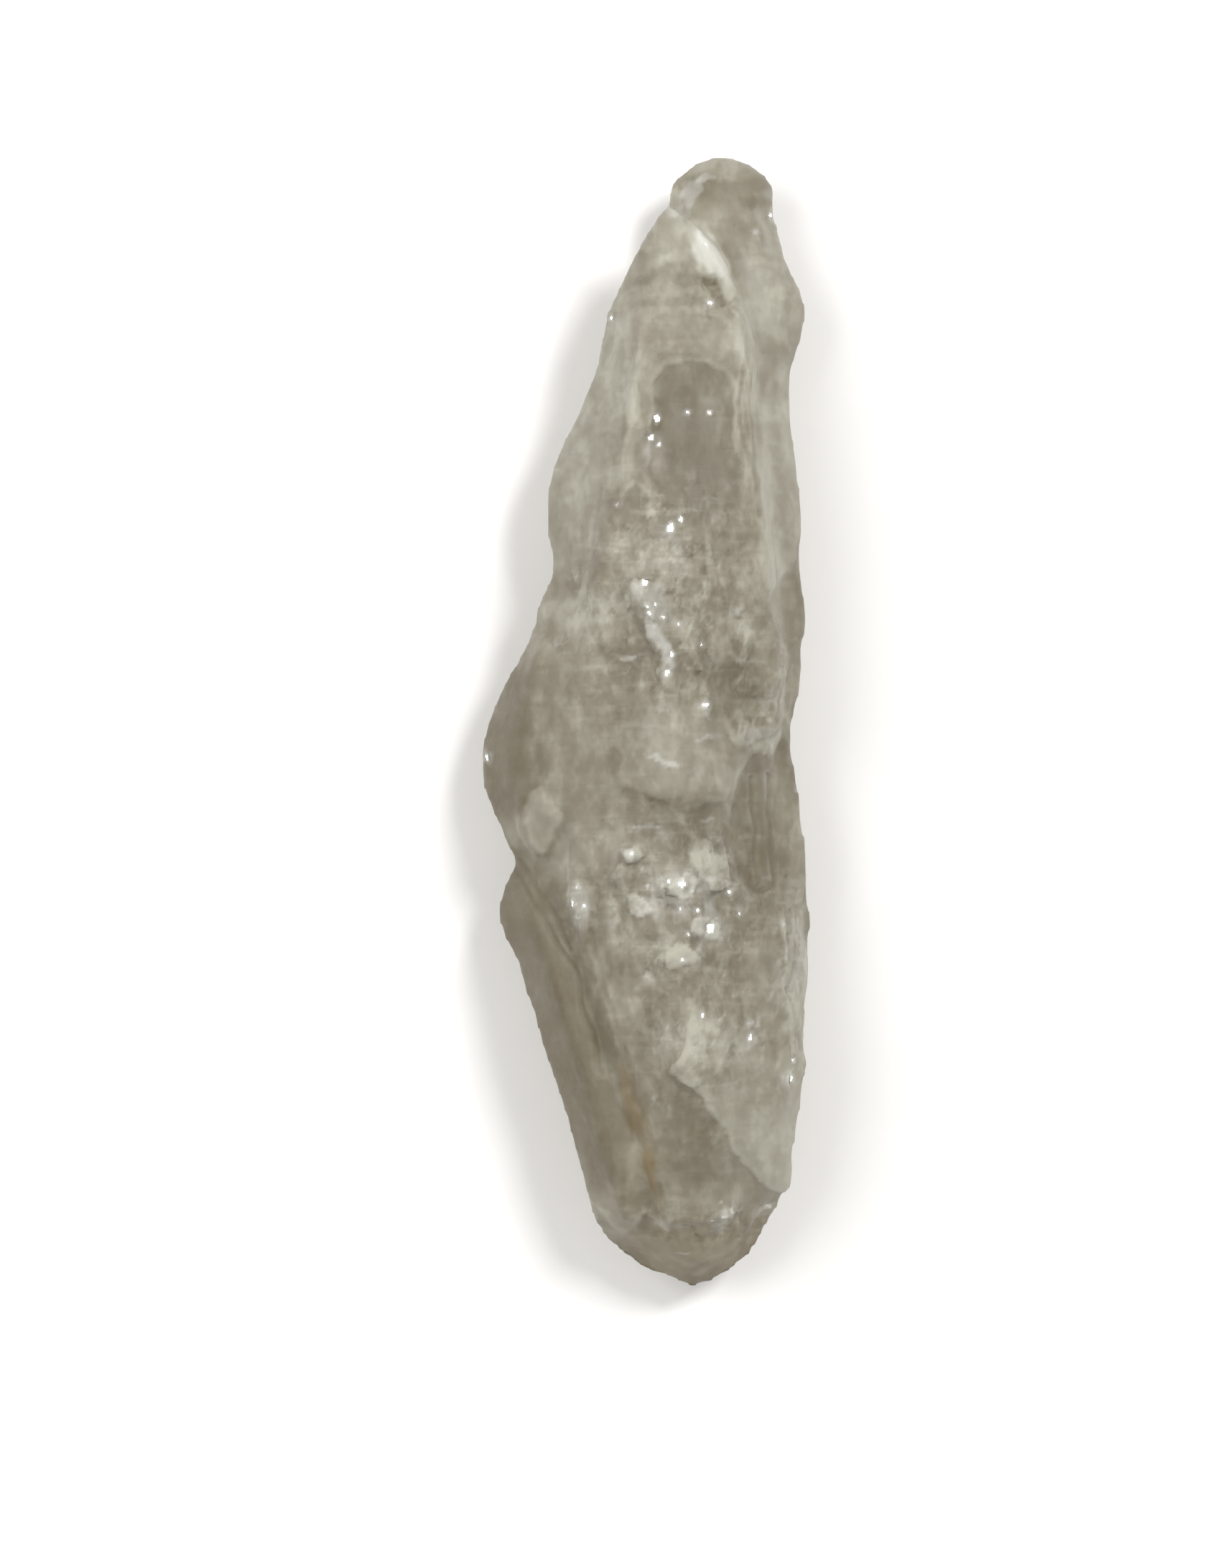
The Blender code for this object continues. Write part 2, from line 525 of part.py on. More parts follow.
def set_in_frame(body):
    """Scales the crystal to its driving dimensions, in metres, with the origin under its middle. What is
    lower than REST_CUT hangs below the origin, where the flat will be cut."""
    mesh = body.data
    points = np.empty(len(mesh.vertices) * 3)
    mesh.vertices.foreach_get("co", points)
    points = points.reshape(-1, 3)
    low, high = points.min(axis=0), points.max(axis=0)
    low[2] = REST_CUT
    origin = np.array([(low[0] + high[0]) / 2, (low[1] + high[1]) / 2, low[2]])
    size = np.array([WIDTH, LENGTH, THICKNESS])
    points = (points - origin) * size / (high - low) * MM
    mesh.vertices.foreach_set("co", points.ravel())
    mesh.update()


def cut_flat(body):
    """Cuts the flat prism face that the crystal rests on, with a block that ends at the origin's height."""
    bpy.ops.mesh.primitive_cube_add(size=GROUND_SIZE, location=(0.0, 0.0, -GROUND_SIZE / 2))
    ground = bpy.context.object
    ground.name = "ground"
    ground.hide_render = True
    ground.display_type = "WIRE"
    move_to_collection(ground, "cutters")
    cut = body.modifiers.new("resting_face", "BOOLEAN")
    cut.operation = "DIFFERENCE"
    cut.solver = "EXACT"
    cut.object = ground


def move_to_collection(thing, name):
    """Puts an object in a new collection of its own."""
    group = bpy.data.collections.new(name)
    bpy.context.scene.collection.children.link(group)
    for holder in list(thing.users_collection):
        holder.objects.unlink(thing)
    group.objects.link(thing)


def prasiolite():
    """Pale green quartz, cloudy and etched."""
    material = bpy.data.materials.new("prasiolite")
    material.use_nodes = True
    shader = material.node_tree.nodes["Principled BSDF"]
    shader.inputs["Base Color"].default_value = (0.42, 0.42, 0.34, 1.0)
    shader.inputs["Roughness"].default_value = 0.32
    shader.inputs["Metallic"].default_value = 0.0
    shader.inputs["IOR"].default_value = 1.544
    shader.inputs["Transmission Weight"].default_value = 0.5
    return material


def build():
    """The whole crystal as one object."""
    clear_scene()
    things = [loft(individual) for individual in GROUP]
    things += [nub_solid(nub, index) for index, nub in enumerate(NUBS)]
    crystal = joined(things)
    reskinned(crystal)
    carve(crystal)
    thinned(crystal)
    set_in_frame(crystal)
    crystal.name = NODE_NAME
    crystal.data.name = NODE_NAME
    crystal.data.materials.clear()
    crystal.data.materials.append(prasiolite())
    crystal.data.shade_smooth()
    crystal.data.set_sharp_from_angle(angle=np.radians(SHARP_ANGLE))
    move_to_collection(crystal, NODE_NAME)
    cut_flat(crystal)


build()
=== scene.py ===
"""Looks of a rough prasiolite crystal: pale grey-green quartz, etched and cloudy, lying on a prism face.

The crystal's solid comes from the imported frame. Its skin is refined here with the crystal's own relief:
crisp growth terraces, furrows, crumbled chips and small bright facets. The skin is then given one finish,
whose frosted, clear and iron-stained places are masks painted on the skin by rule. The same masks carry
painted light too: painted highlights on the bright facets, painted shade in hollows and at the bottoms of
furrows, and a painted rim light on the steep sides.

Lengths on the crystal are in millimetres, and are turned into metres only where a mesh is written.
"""

import logging
import math
from dataclasses import dataclass, field
from enum import Enum
from typing import Union

import bmesh
import bpy
import numpy as np
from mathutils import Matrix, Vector, noise


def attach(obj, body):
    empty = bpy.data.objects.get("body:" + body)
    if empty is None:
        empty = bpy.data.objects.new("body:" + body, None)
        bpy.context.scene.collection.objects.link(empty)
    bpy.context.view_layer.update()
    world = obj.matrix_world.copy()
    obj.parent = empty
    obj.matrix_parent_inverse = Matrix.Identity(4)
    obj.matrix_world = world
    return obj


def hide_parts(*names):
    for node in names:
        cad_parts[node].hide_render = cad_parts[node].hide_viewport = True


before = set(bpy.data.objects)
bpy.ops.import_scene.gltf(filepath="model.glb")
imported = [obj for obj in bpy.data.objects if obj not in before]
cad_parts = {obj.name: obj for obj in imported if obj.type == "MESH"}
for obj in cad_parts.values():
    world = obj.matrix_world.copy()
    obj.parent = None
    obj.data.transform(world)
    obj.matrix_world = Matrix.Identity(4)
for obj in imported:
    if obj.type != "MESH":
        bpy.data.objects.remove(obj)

LOG = logging.getLogger("prasiolite")
MM = 0.001
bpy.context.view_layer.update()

# How growth edges stray from their drawn lines: the size of the waves, and how far they reach.
BROAD_WANDER = (2.4, 0.45)
FINE_WANDER = (0.7, 0.22)
WANDER_SHIFT = Vector((31.4, 17.7, 5.3))

# Noise that frays the edges of patches: its longest wave along each axis, and how often it is halved.
FRAY_SIZE = (1.1, 1.9, 1.1)
FRAY_OCTAVES = 5

# The upward part of the normal from which a side's features are at full strength.
FULL_FACING = 0.25

Points = np.ndarray
Values = np.ndarray
Socket = bpy.types.NodeSocket
Feed = Union[bpy.types.NodeSocket, float, tuple]
Setting = Union[str, bool]


class Side(Enum):
    """Which way the skin faces where a feature lies."""

    UPPER = 1.0
    UNDER = -1.0


class Mask(Enum):
    """Names of the masks that the skin carries for its finish."""

    # The frost mask also carries painted light on steep sides and furrow lips, the clear mask painted shade
    # in hollows and furrows, and the white mask painted highlights on the bright facets.
    FROST_AND_PAINTED_LIGHT = "frost"
    CLEAR_AND_PAINTED_SHADE = "clear"
    STAIN = "stain"
    BRUISE_AND_PAINTED_GLINT = "white"
    GLOSS = "gloss"
    CRUMB = "crumb"


def smooth_share(values: Values, low: float, high: float) -> Values:
    """Rises smoothly from 0 at low to 1 at high."""
    share = np.clip((values - low) / (high - low), 0.0, 1.0)
    return share * share * (3.0 - 2.0 * share)


def fractal_at(points: Points, size: tuple, octaves: int, seed: float = 0.0) -> Values:
    """Noise with finer and finer waves.

    Args:
        points: Places on the crystal.
        size: Length of the longest wave along x, y and z.
        octaves: How many times the waves are halved.
        seed: Shifts the noise, so that two uses differ.

    Returns:
        Values from about -1 to 1.
    """
    scaled = points / np.array(size) + seed
    return np.array([noise.fractal(Vector(place), 1.0, 2.0, octaves) for place in scaled])


def wandering(plan: Points, size: float, reach: float) -> Points:
    """Strays from the given places, so that what is drawn there gets a natural, uneven line.

    Args:
        plan: Places in plan.
        size: Length of the waves.
        reach: How far the waves move a place.

    Returns:
        The moved places.
    """
    moved = plan.copy()
    for index, (x, y) in enumerate(plan):
        place = Vector((x, y, 0.0)) / size
        drift = (noise.noise(place + WANDER_SHIFT), noise.noise(place - WANDER_SHIFT))
        moved[index] += reach * np.array(drift)
    return moved


def facing(normals: Points, side: Side) -> Values:
    """How far each point of the skin belongs to one side, from 0 to 1."""
    return np.clip(normals[:, 2] * side.value / FULL_FACING, 0.0, 1.0)


def closed_curve(knots: tuple, per_span: int = 8) -> Points:
    """Draws a closed smooth curve through the knots.

    Args:
        knots: (x, y) places that it runs through.
        per_span: How many samples lie between two knots.

    Returns:
        (x, y) samples along it.
    """
    through = np.array(knots)
    before, after, beyond = (np.roll(through, shift, axis=0) for shift in (1, -1, -2))
    t = (np.arange(per_span) / per_span)[:, None, None]
    curve = 0.5 * (
        2 * through
        + (after - before) * t
        + (2 * before - 5 * through + 4 * after - beyond) * t**2
        + (3 * through - before - 3 * after + beyond) * t**3
    )
    return curve.transpose(1, 0, 2).reshape(-1, 2)


def distance_to_line(plan: Points, line: Points, closed: bool) -> Values:
    """Measures in plan how far each point is from a line of straight pieces.

    Args:
        plan: Places in plan.
        line: (x, y) corners of the line.
        closed: Whether its last corner is joined to its first.

    Returns:
        The distance of each place.
    """
    corners = np.array(line)
    ends = np.roll(corners, -1, axis=0) if closed else corners[1:]
    starts = corners if closed else corners[:-1]
    nearest = np.full(len(plan), np.inf)
    for start, end in zip(starts, ends):
        along = end - start
        share = np.clip(((plan - start) @ along) / (along @ along), 0.0, 1.0)
        nearest = np.minimum(nearest, np.linalg.norm(plan - start - share[:, None] * along, axis=1))
    return nearest


def inside_loop(plan: Points, loop: Points) -> np.ndarray:
    """Finds the points that lie inside a closed loop, seen in plan.

    Args:
        plan: Places in plan.
        loop: (x, y) corners of the loop.

    Returns:
        True for each place inside it.
    """
    crossings = np.zeros(len(plan), int)
    for (ax, ay), (bx, by) in zip(loop, np.roll(loop, -1, axis=0)):
        if ay == by:
            continue
        spans = (plan[:, 1] < ay) != (plan[:, 1] < by)
        at = ax + (plan[:, 1] - ay) * (bx - ax) / (by - ay)
        crossings += spans & (plan[:, 0] < at)
    return crossings % 2 == 1


@dataclass
class Surface:
    """The skin's points while it is being shaped.

    Attributes:
        points: Places in millimetres.
        normals: Unit normals.
        edges: Pairs of joined points.
        plan: Places in plan, with the small wander that gives growth edges their uneven line.
        calm_plan: Places in plan with the broad wander alone, for etched lines, which run straighter.
        ragged: Fine noise that frays the edges of patches.
    """

    points: Points
    normals: Points
    edges: Points
    plan: Points = None
    calm_plan: Points = None
    ragged: Values = None

    @classmethod
    def of(cls, mesh: bpy.types.Mesh) -> "Surface":
        """Reads a mesh.

        Args:
            mesh: A mesh in metres.

        Returns:
            Its points, normals and edges, in millimetres.
        """
        points = np.empty(len(mesh.vertices) * 3)
        normals = np.empty(len(mesh.vertices) * 3)
        edges = np.empty(len(mesh.edges) * 2, int)
        mesh.vertices.foreach_get("co", points)
        mesh.vertices.foreach_get("normal", normals)
        mesh.edges.foreach_get("vertices", edges)
        return cls(points.reshape(-1, 3) / MM, normals.reshape(-1, 3), edges.reshape(-1, 2))

    def wander(self) -> None:
        """Works out the wandering plans and the fine noise."""
        self.calm_plan = wandering(self.points[:, :2], *BROAD_WANDER)
        self.plan = wandering(self.calm_plan, *FINE_WANDER)
        self.ragged = fractal_at(self.points, FRAY_SIZE, FRAY_OCTAVES, seed=5.0)

    def relaxed(self, share: Values, passes: int, back: float = 0.51) -> Points:
        """The points after each has moved towards its neighbours' middle, then back again.

        Args:
            share: How far each point takes part, from 0 to 1.
            passes: How many times this is done.
            back: How far it moves back. 0.51 keeps the skin's width, and less lets low swells melt too.

        Returns:
            The smoothed points.
        """
        points = self.points
        for step in (0.5, -back) * passes:
            means = np.column_stack([self.neighbours_mean(points[:, axis]) for axis in range(3)])
            points = points + step * share[:, None] * (means - points)
        return points

    def neighbours_mean(self, values: Values) -> Values:
        """Averages over the points that an edge joins to each point.

        Args:
            values: A value for each point.

        Returns:
            The mean at each point's neighbours.
        """
        first, second = self.edges.T
        total = len(values)
        gathered = np.bincount(first, values[second], total) + np.bincount(second, values[first], total)
        return gathered / np.bincount(self.edges.ravel(), minlength=total)

    def spread(self, values: Values, passes: int) -> Values:
        """Blurs the values over the skin.

        Args:
            values: A value for each point.
            passes: How often each is moved halfway to its neighbours' mean.

        Returns:
            The blurred values.
        """
        for _ in range(passes):
            values = 0.5 * values + 0.5 * self.neighbours_mean(values)
        return values

    def write(self, mesh: bpy.types.Mesh) -> None:
        """Writes the points back, and reads the new normals.

        Args:
            mesh: The mesh that they came from, in metres.
        """
        mesh.vertices.foreach_set("co", (self.points * MM).ravel())
        mesh.update()
        normals = np.empty(len(mesh.vertices) * 3)
        mesh.vertices.foreach_get("normal", normals)
        self.normals = normals.reshape(-1, 3)


@dataclass(frozen=True)
class Terrace:
    """A growth step on the upper side, whose inside is raised, or sunk if rise is negative.

    Attributes:
        outline: (x, y) knots of its closed edge.
        rise: Height of the step.
        tone: How frosted the inside is, or how clear if it is negative.
        edge: Width over which the step rises.
        rim: How pale the bruised edge is.
        fade: The two y values between which the step runs out to nothing, or empty.
        rim_width: Width of the bruised edge.
        tone_fray: How far fine noise moves the edge of the tone.
    """

    outline: tuple
    rise: float
    tone: float = 0.0
    edge: float = 0.26
    rim: float = 0.25
    fade: tuple = ()
    rim_width: float = 0.22
    tone_fray: float = 0.12

    def inward(self, surface: Surface) -> Values:
        """Measures how far inside the step each point is.

        Args:
            surface: The skin.

        Returns:
            Signed distance from the edge, positive inside.
        """
        loop = closed_curve(self.outline)
        reach = distance_to_line(surface.plan, loop, closed=True)
        return np.where(inside_loop(surface.plan, loop), reach, -reach)

    def strength(self, surface: Surface) -> Values:
        """Tells how fully the step is there, before its edge is counted.

        Args:
            surface: The skin.

        Returns:
            A share from 0 to 1 for each point.
        """
        strength = facing(surface.normals, Side.UPPER)
        if self.fade:
            full, gone = self.fade
            strength = strength * np.clip((surface.plan[:, 1] - gone) / (full - gone), 0.0, 1.0)
        return strength

    def height(self, surface: Surface) -> Values:
        """The offset along the normal that the step gives each point."""
        share = smooth_share(self.inward(surface), -self.edge / 2, self.edge / 2)
        return self.rise * share * self.strength(surface)

    def shade(self, surface: Surface) -> Values:
        """The tone that the step gives each point, with the edge a little uneven."""
        inward = self.inward(surface) + self.tone_fray * surface.ragged
        return self.tone * smooth_share(inward, -self.edge, self.edge) * self.strength(surface)

    def paleness(self, surface: Surface) -> Values:
        """Finds the frost that lies along the upper lip of the step.

        Args:
            surface: The skin.

        Returns:
            How frosted each point is.
        """
        lip = self.inward(surface) - math.copysign(self.edge, self.rise)
        pale = self.rim * np.exp(-((lip / self.rim_width) ** 2))
        return pale * self.strength(surface) * (1.0 + surface.ragged)


@dataclass(frozen=True)
class Furrow:
    """A groove etched along a line on the upper side.

    Attributes:
        line: (x, y) points that it runs through.
        depth, half_width: Its size.
        shade: How much painted shade darkens its bottom.
        lip: How pale its two lips are, as a painted highlight.
        lip_at, lip_width: Where the lips lie and how wide they are, in half widths of the furrow.
        whole, gaps: How much of its tone there is on the average, and how far that varies along it.
    """

    line: tuple
    depth: float
    half_width: float
    shade: float = 0.35
    lip: float = 0.20
    lip_at: float = 1.4
    lip_width: float = 0.5
    whole: float = 0.8
    gaps: float = 1.4

    def away(self, surface: Surface) -> Values:
        """Distance of each point from the line, where 1 is the half width."""
        return distance_to_line(surface.calm_plan, self.line, closed=False) / self.half_width

    def height(self, surface: Surface) -> Values:
        """The offset along the normal that the furrow gives each point."""
        hollow = np.clip(1.0 - self.away(surface) ** 2, 0.0, 1.0)
        return -self.depth * hollow * facing(surface.normals, Side.UPPER)

    def tone(self, surface: Surface) -> Values:
        """Paints the furrow's light and shade: pale lips and a darker bottom, with gaps along the line.

        Args:
            surface: The skin.

        Returns:
            How frosted each point is, or how clear if it is negative.
        """
        away = self.away(surface)
        lips = self.lip * np.exp(-(((away - self.lip_at) / self.lip_width) ** 2))
        # Pale lips and a dark bottom: the groove's painted highlight and painted shade.
        drawn = lips - self.shade * np.exp(-(away**2) * 2.0)
        left = np.clip(self.whole + self.gaps * surface.ragged, 0.0, 1.0)
        return drawn * left * facing(surface.normals, Side.UPPER)


@dataclass(frozen=True)
class Patch:
    """A frayed oval on the skin where a mask is raised.

    Attributes:
        x, y: Its middle.
        across, along: Its half sizes.
        amount: What it adds to the mask at its middle.
        turn: Angle of its long axis from +Y, anticlockwise, in degrees.
        soft: How far its edge spreads, as a share of its size.
        fray: How far noise moves its edge, as a share of its size.
        side: The side of the crystal that it is on.
    """

    x: float
    y: float
    across: float
    along: float
    amount: float = 1.0
    turn: float = 0.0
    soft: float = 0.5
    fray: float = 0.35
    side: Side = Side.UPPER

    def value(self, surface: Surface) -> Values:
        """Works out what the patch adds to its mask.

        Args:
            surface: The skin.

        Returns:
            The amount at each point.
        """
        angle = math.radians(self.turn)
        dx = surface.plan[:, 0] - self.x
        dy = surface.plan[:, 1] - self.y
        over = (dx * math.cos(angle) + dy * math.sin(angle)) / self.across
        up = (-dx * math.sin(angle) + dy * math.cos(angle)) / self.along
        reach = np.hypot(over, up) + self.fray * surface.ragged
        share = 1.0 - smooth_share(reach, 1.0 - self.soft, 1.0 + self.soft)
        return self.amount * share * facing(surface.normals, self.side)


def patches(*rows: tuple) -> tuple:
    """Makes patches from rows of (x, y, across, along, amount, turn, soft, fray, side)."""
    return tuple(Patch(*row) for row in rows)


@dataclass(frozen=True)
class Chips:
    """A cover of small flat facets, each tilted its own way, as crumbled etching leaves.

    Attributes:
        size: Width of a chip.
        stretch: How much longer it is along the crystal.
        tilt: Rise over run of the steepest chip.
        drop: Height from the lowest chip to the highest.
        seed: Shifts the pattern.
        faintest: Points with a smaller share of chipping are left out.
        lean_key, tone_key: Draw a chip's lean and its tone from its middle.
    """

    size: float
    stretch: float
    tilt: float
    drop: float
    seed: float
    faintest: float = 0.02
    lean_key: float = 37.0
    tone_key: float = 53.0

    def cover(self, surface: Surface, share: Values) -> tuple:
        """Heights and tones of the chips.

        Args:
            surface: The skin.
            share: How strongly each point is chipped.

        Returns:
            The height at each point, and a tone from 0 to 1 that is the same all over a chip.
        """
        heights = np.zeros(len(share))
        tones = np.full(len(share), 0.5)
        scale = np.array((self.size, self.size * self.stretch, self.size))
        for index in np.flatnonzero(share > self.faintest):
            place = Vector(surface.points[index] / scale + self.seed)
            middle = noise.voronoi(place)[1][0]
            lean = noise.cell_vector(middle * self.lean_key) * 2.0 - Vector((1.0, 1.0, 1.0))
            tones[index] = noise.cell(middle * self.tone_key)
            slope = self.tilt * self.size * lean.dot(place - middle)
            heights[index] = slope + self.drop * (tones[index] - 0.5)
        return heights * share, tones


@dataclass(frozen=True)
class Glint:
    """A small flat facet that leans towards the light, painted white as a painted highlight.

    Attributes:
        x, y: Its middle.
        radius: Its size.
        white: How white the facet is painted, as a painted highlight, and how pale its halo is, from 0 to 1.
        lean: How far it leans from level, in degrees.
        heading: The way it leans, anticlockwise from +X, in degrees.
        sides: How many sides it has.
        depth: How far from its plane a point can be and still belong to it, in radii.
        flat, glossy, bruised: Where its plane, gloss and pale halo begin and cease to fade, from its
        middle at 0 to its outline at 1 and beyond.
        fray, pallor: How frayed the halo's edge is, and how white the halo is beside the facet.
    """

    x: float
    y: float
    radius: float = 0.30
    white: float = 0.6
    lean: float = 17.0
    heading: float = 42.0
    sides: int = 4
    depth: float = 1.5
    flat: tuple = (0.9, 1.3)
    glossy: tuple = (0.8, 1.25)
    bruised: tuple = (1.3, 2.4)
    fray: float = 1.1
    pallor: float = 0.40

    def reach(self, surface: Surface) -> Values:
        """Measures how far each upper point is from the facet's middle.

        The facet is squashed along the crystal, and turned, by a rule that differs from one to the next.

        Args:
            surface: The skin.

        Returns:
            The distance, where 1 is the facet's outline.
        """
        squash = 0.6 + 0.9 * math.sin(11.0 * self.x + 5.0 * self.y) ** 2
        over = surface.points[:, 0] - self.x
        up = (surface.points[:, 1] - self.y) * squash
        spoke = np.mod(np.arctan2(up, over) + 3.0 * self.x, math.tau / self.sides) - math.pi / self.sides
        away = np.hypot(over, up) * np.cos(spoke) / (self.radius * math.cos(math.pi / self.sides))
        return np.where(surface.normals[:, 2] > FULL_FACING, away, np.inf)

    def flatten(self, surface: Surface) -> None:
        """Moves the points of the facet onto its plane.

        Args:
            surface: The skin, which is changed.
        """
        reach = self.reach(surface)
        share = 1.0 - smooth_share(reach, *self.flat)
        if not share.any():
            return
        middle = surface.points[np.argmin(reach), 2]
        slope = -math.tan(math.radians(self.lean))
        heading = math.radians(self.heading)
        over = surface.points[:, 0] - self.x
        up = surface.points[:, 1] - self.y
        plane = middle + slope * (over * math.cos(heading) + up * math.sin(heading))
        near = np.abs(surface.points[:, 2] - plane) < self.depth * self.radius
        surface.points[:, 2] += (plane - surface.points[:, 2]) * share * near

    def halo(self, surface: Surface) -> Values:
        """How white the frayed halo round the facet makes each point: partly a bruise and partly a painted
        glow.
        """
        reach = self.reach(surface) + self.fray * surface.ragged
        return self.pallor * self.white * (1.0 - smooth_share(reach, *self.bruised))

    def gloss(self, surface: Surface) -> Values:
        """How far each point belongs to the glossy facet."""
        return 1.0 - smooth_share(self.reach(surface), *self.glossy)


def facets(*rows: tuple) -> tuple:
    """Makes glints from rows of (x, y, radius, white)."""
    return tuple(Glint(*row) for row in rows)


@dataclass
class Relief:
    """Everything that growth and etching carved into the skin.

    Attributes:
        terraces, furrows: Growth steps and etched grooves.
        crumbled: Patches where the skin is chipped.
        faintest: How strongly it is chipped elsewhere.
        glassy: Patches where the skin is smooth and flat.
        chips: The covers of chips, from coarse to fine.
        swell, swell_size: Height of the skin's slow waves, and their length along each axis.
        rest_level, rest_normal: What is lower and faces down more than this is the face that the crystal
            rests on, and isn't carved.
        glints: Facets that catch the light.
    """

    terraces: tuple = (
        # outer and inner edges of the arched window below the termination
        Terrace(((2.7, 25.4), (0.2, 24.4), (-0.5, 20.0), (-0.7, 14.0), (0.4, 6.0), (5.6, 6.0), (6.2, 14.0),
                 (6.0, 21.0), (5.0, 24.4)), -0.07, tone=-0.12, fade=(15.0, 9.0), rim=0.15),
        Terrace(((2.8, 22.4), (1.0, 21.9), (0.4, 19.6), (0.4, 15.0), (1.6, 10.0), (4.8, 10.0), (6.0, 14.6),
                 (5.2, 18.0), (4.8, 21.2)), -0.08, tone=-0.36, edge=0.20, rim=0.24, fade=(17.0, 11.0)),
        # slab on the lobe
        Terrace(((7.2, 19.0), (7.0, 12.0), (7.5, 8.3), (8.6, 8.9), (9.6, 12.0), (10.6, 18.0), (9.0, 24.0)),
                0.08, tone=0.34, fade=(19.0, 23.0)),
        # sunk clear pane on the right, and the frosted block above it
        Terrace(((8.6, -1.4), (6.4, -2.4), (5.4, -5.6), (5.6, -9.0), (7.4, -10.6), (9.2, -8.0), (9.4, -3.6)),
                -0.08, tone=-0.42, edge=0.24, rim=0.12),
        Terrace(((5.0, 1.0), (7.4, 1.2), (8.1, -0.2), (8.1, -1.6), (6.6, -1.9), (5.2, -1.0)), 0.05,
                tone=0.34, edge=0.20, fade=(-0.4, 1.6)),
        # foot of the frosted terrace in the middle, and the hollow under it
        Terrace(((0.8, 2.6), (3.8, 2.2), (6.0, -1.0), (6.3, -2.4), (5.2, -5.0), (1.6, -4.9), (-1.4, -4.5),
                 (-2.0, -2.8), (-0.6, 0.4)), 0.04, tone=0.16, edge=0.30, rim=0.04, fade=(-2.6, 2.6)),
        Terrace(((0.2, -5.0), (2.0, -5.4), (4.9, -5.5), (5.0, -7.4), (3.2, -8.4), (0.8, -8.0), (-0.4, -6.6)),
                -0.04, tone=-0.50, edge=0.22, rim=0.0),
        # dimple in the round head left of the window
        Terrace(((-0.7, 14.6), (-1.5, 13.85), (-0.7, 13.0), (0.2, 13.7)), -0.03, tone=-0.35, edge=0.22,
                rim=0.28),
        # three-sided pane
        Terrace(((-2.7, 3.8), (-0.2, 3.9), (-1.5, 1.6)), -0.02, tone=-0.50, edge=0.16, rim=0.0),
        # pale facet on the shoulder
        Terrace(((-7.4, -4.4), (-6.5, -4.3), (-5.5, -6.0), (-5.8, -7.2), (-6.8, -8.3), (-7.4, -6.6)), 0.05,
                tone=0.42, edge=0.22, rim=0.14),
        # large chips of the cluster in the lower half
        Terrace(((3.1, -8.5), (3.9, -8.0), (4.8, -8.6), (5.0, -10.0), (4.5, -10.7), (3.8, -10.3),
                 (3.2, -9.6)), 0.12, tone=0.75, edge=0.16, rim=0.45),
        Terrace(((1.4, -10.0), (2.2, -9.5), (3.0, -9.9), (2.9, -10.6), (2.1, -10.9), (1.3, -10.6)), 0.12,
                tone=0.75, edge=0.16, rim=0.50),
        Terrace(((3.1, -12.3), (4.0, -12.0), (4.6, -12.6), (4.2, -13.3), (3.4, -13.2), (2.9, -12.8)), 0.10,
                tone=0.70, edge=0.16, rim=0.60),
        Terrace(((-1.1, -10.9), (-0.3, -11.0), (0.1, -11.6), (-0.4, -12.2), (-1.0, -11.9)), 0.10, tone=0.75,
                edge=0.16, rim=0.40),
        Terrace(((-1.7, -7.8), (-0.9, -7.8), (-0.5, -8.4), (-1.3, -8.8)), 0.08, tone=0.80, edge=0.16,
                rim=0.60),
        Terrace(((1.2, -14.2), (2.6, -13.9), (3.3, -14.4), (2.6, -15.0), (1.6, -15.1)), 0.10, tone=0.65,
                edge=0.18, rim=0.40),
        # frosted facet beside the termination
        Terrace(((2.9, 31.7), (2.8, 30.6), (3.2, 29.0), (3.3, 27.9), (4.3, 27.5), (4.9, 26.2), (5.4, 27.0),
                 (4.9, 28.8), (4.3, 30.2), (3.6, 31.4)), 0.03, tone=0.60, edge=0.18, rim=0.20),
        # broken face of the base, under its scalloped ledge
        Terrace(((-3.9, -31.0), (-2.9, -31.2), (-1.9, -32.4), (-1.0, -32.3), (-0.2, -31.5), (0.6, -31.6),
                 (1.2, -32.1), (1.8, -31.3), (2.6, -31.4), (3.2, -32.2), (4.2, -32.0), (5.2, -31.2),
                 (6.4, -31.7), (7.6, -31.1), (9.0, -32.0), (6.0, -36.5), (1.0, -37.0), (-3.0, -35.0)), -0.09,
                tone=-0.04, edge=0.20, rim=0.34),
        # tongue
        Terrace(((2.2, -20.0), (1.3, -21.9), (3.1, -22.9), (4.2, -24.7), (5.3, -26.8), (7.2, -29.0),
                 (9.4, -29.4), (12.4, -26.0), (12.4, -12.0), (7.0, -12.0), (3.6, -16.0)), 0.12, tone=0.36,
                edge=0.20, rim=0.32, fade=(-21.0, -15.0)),
    )
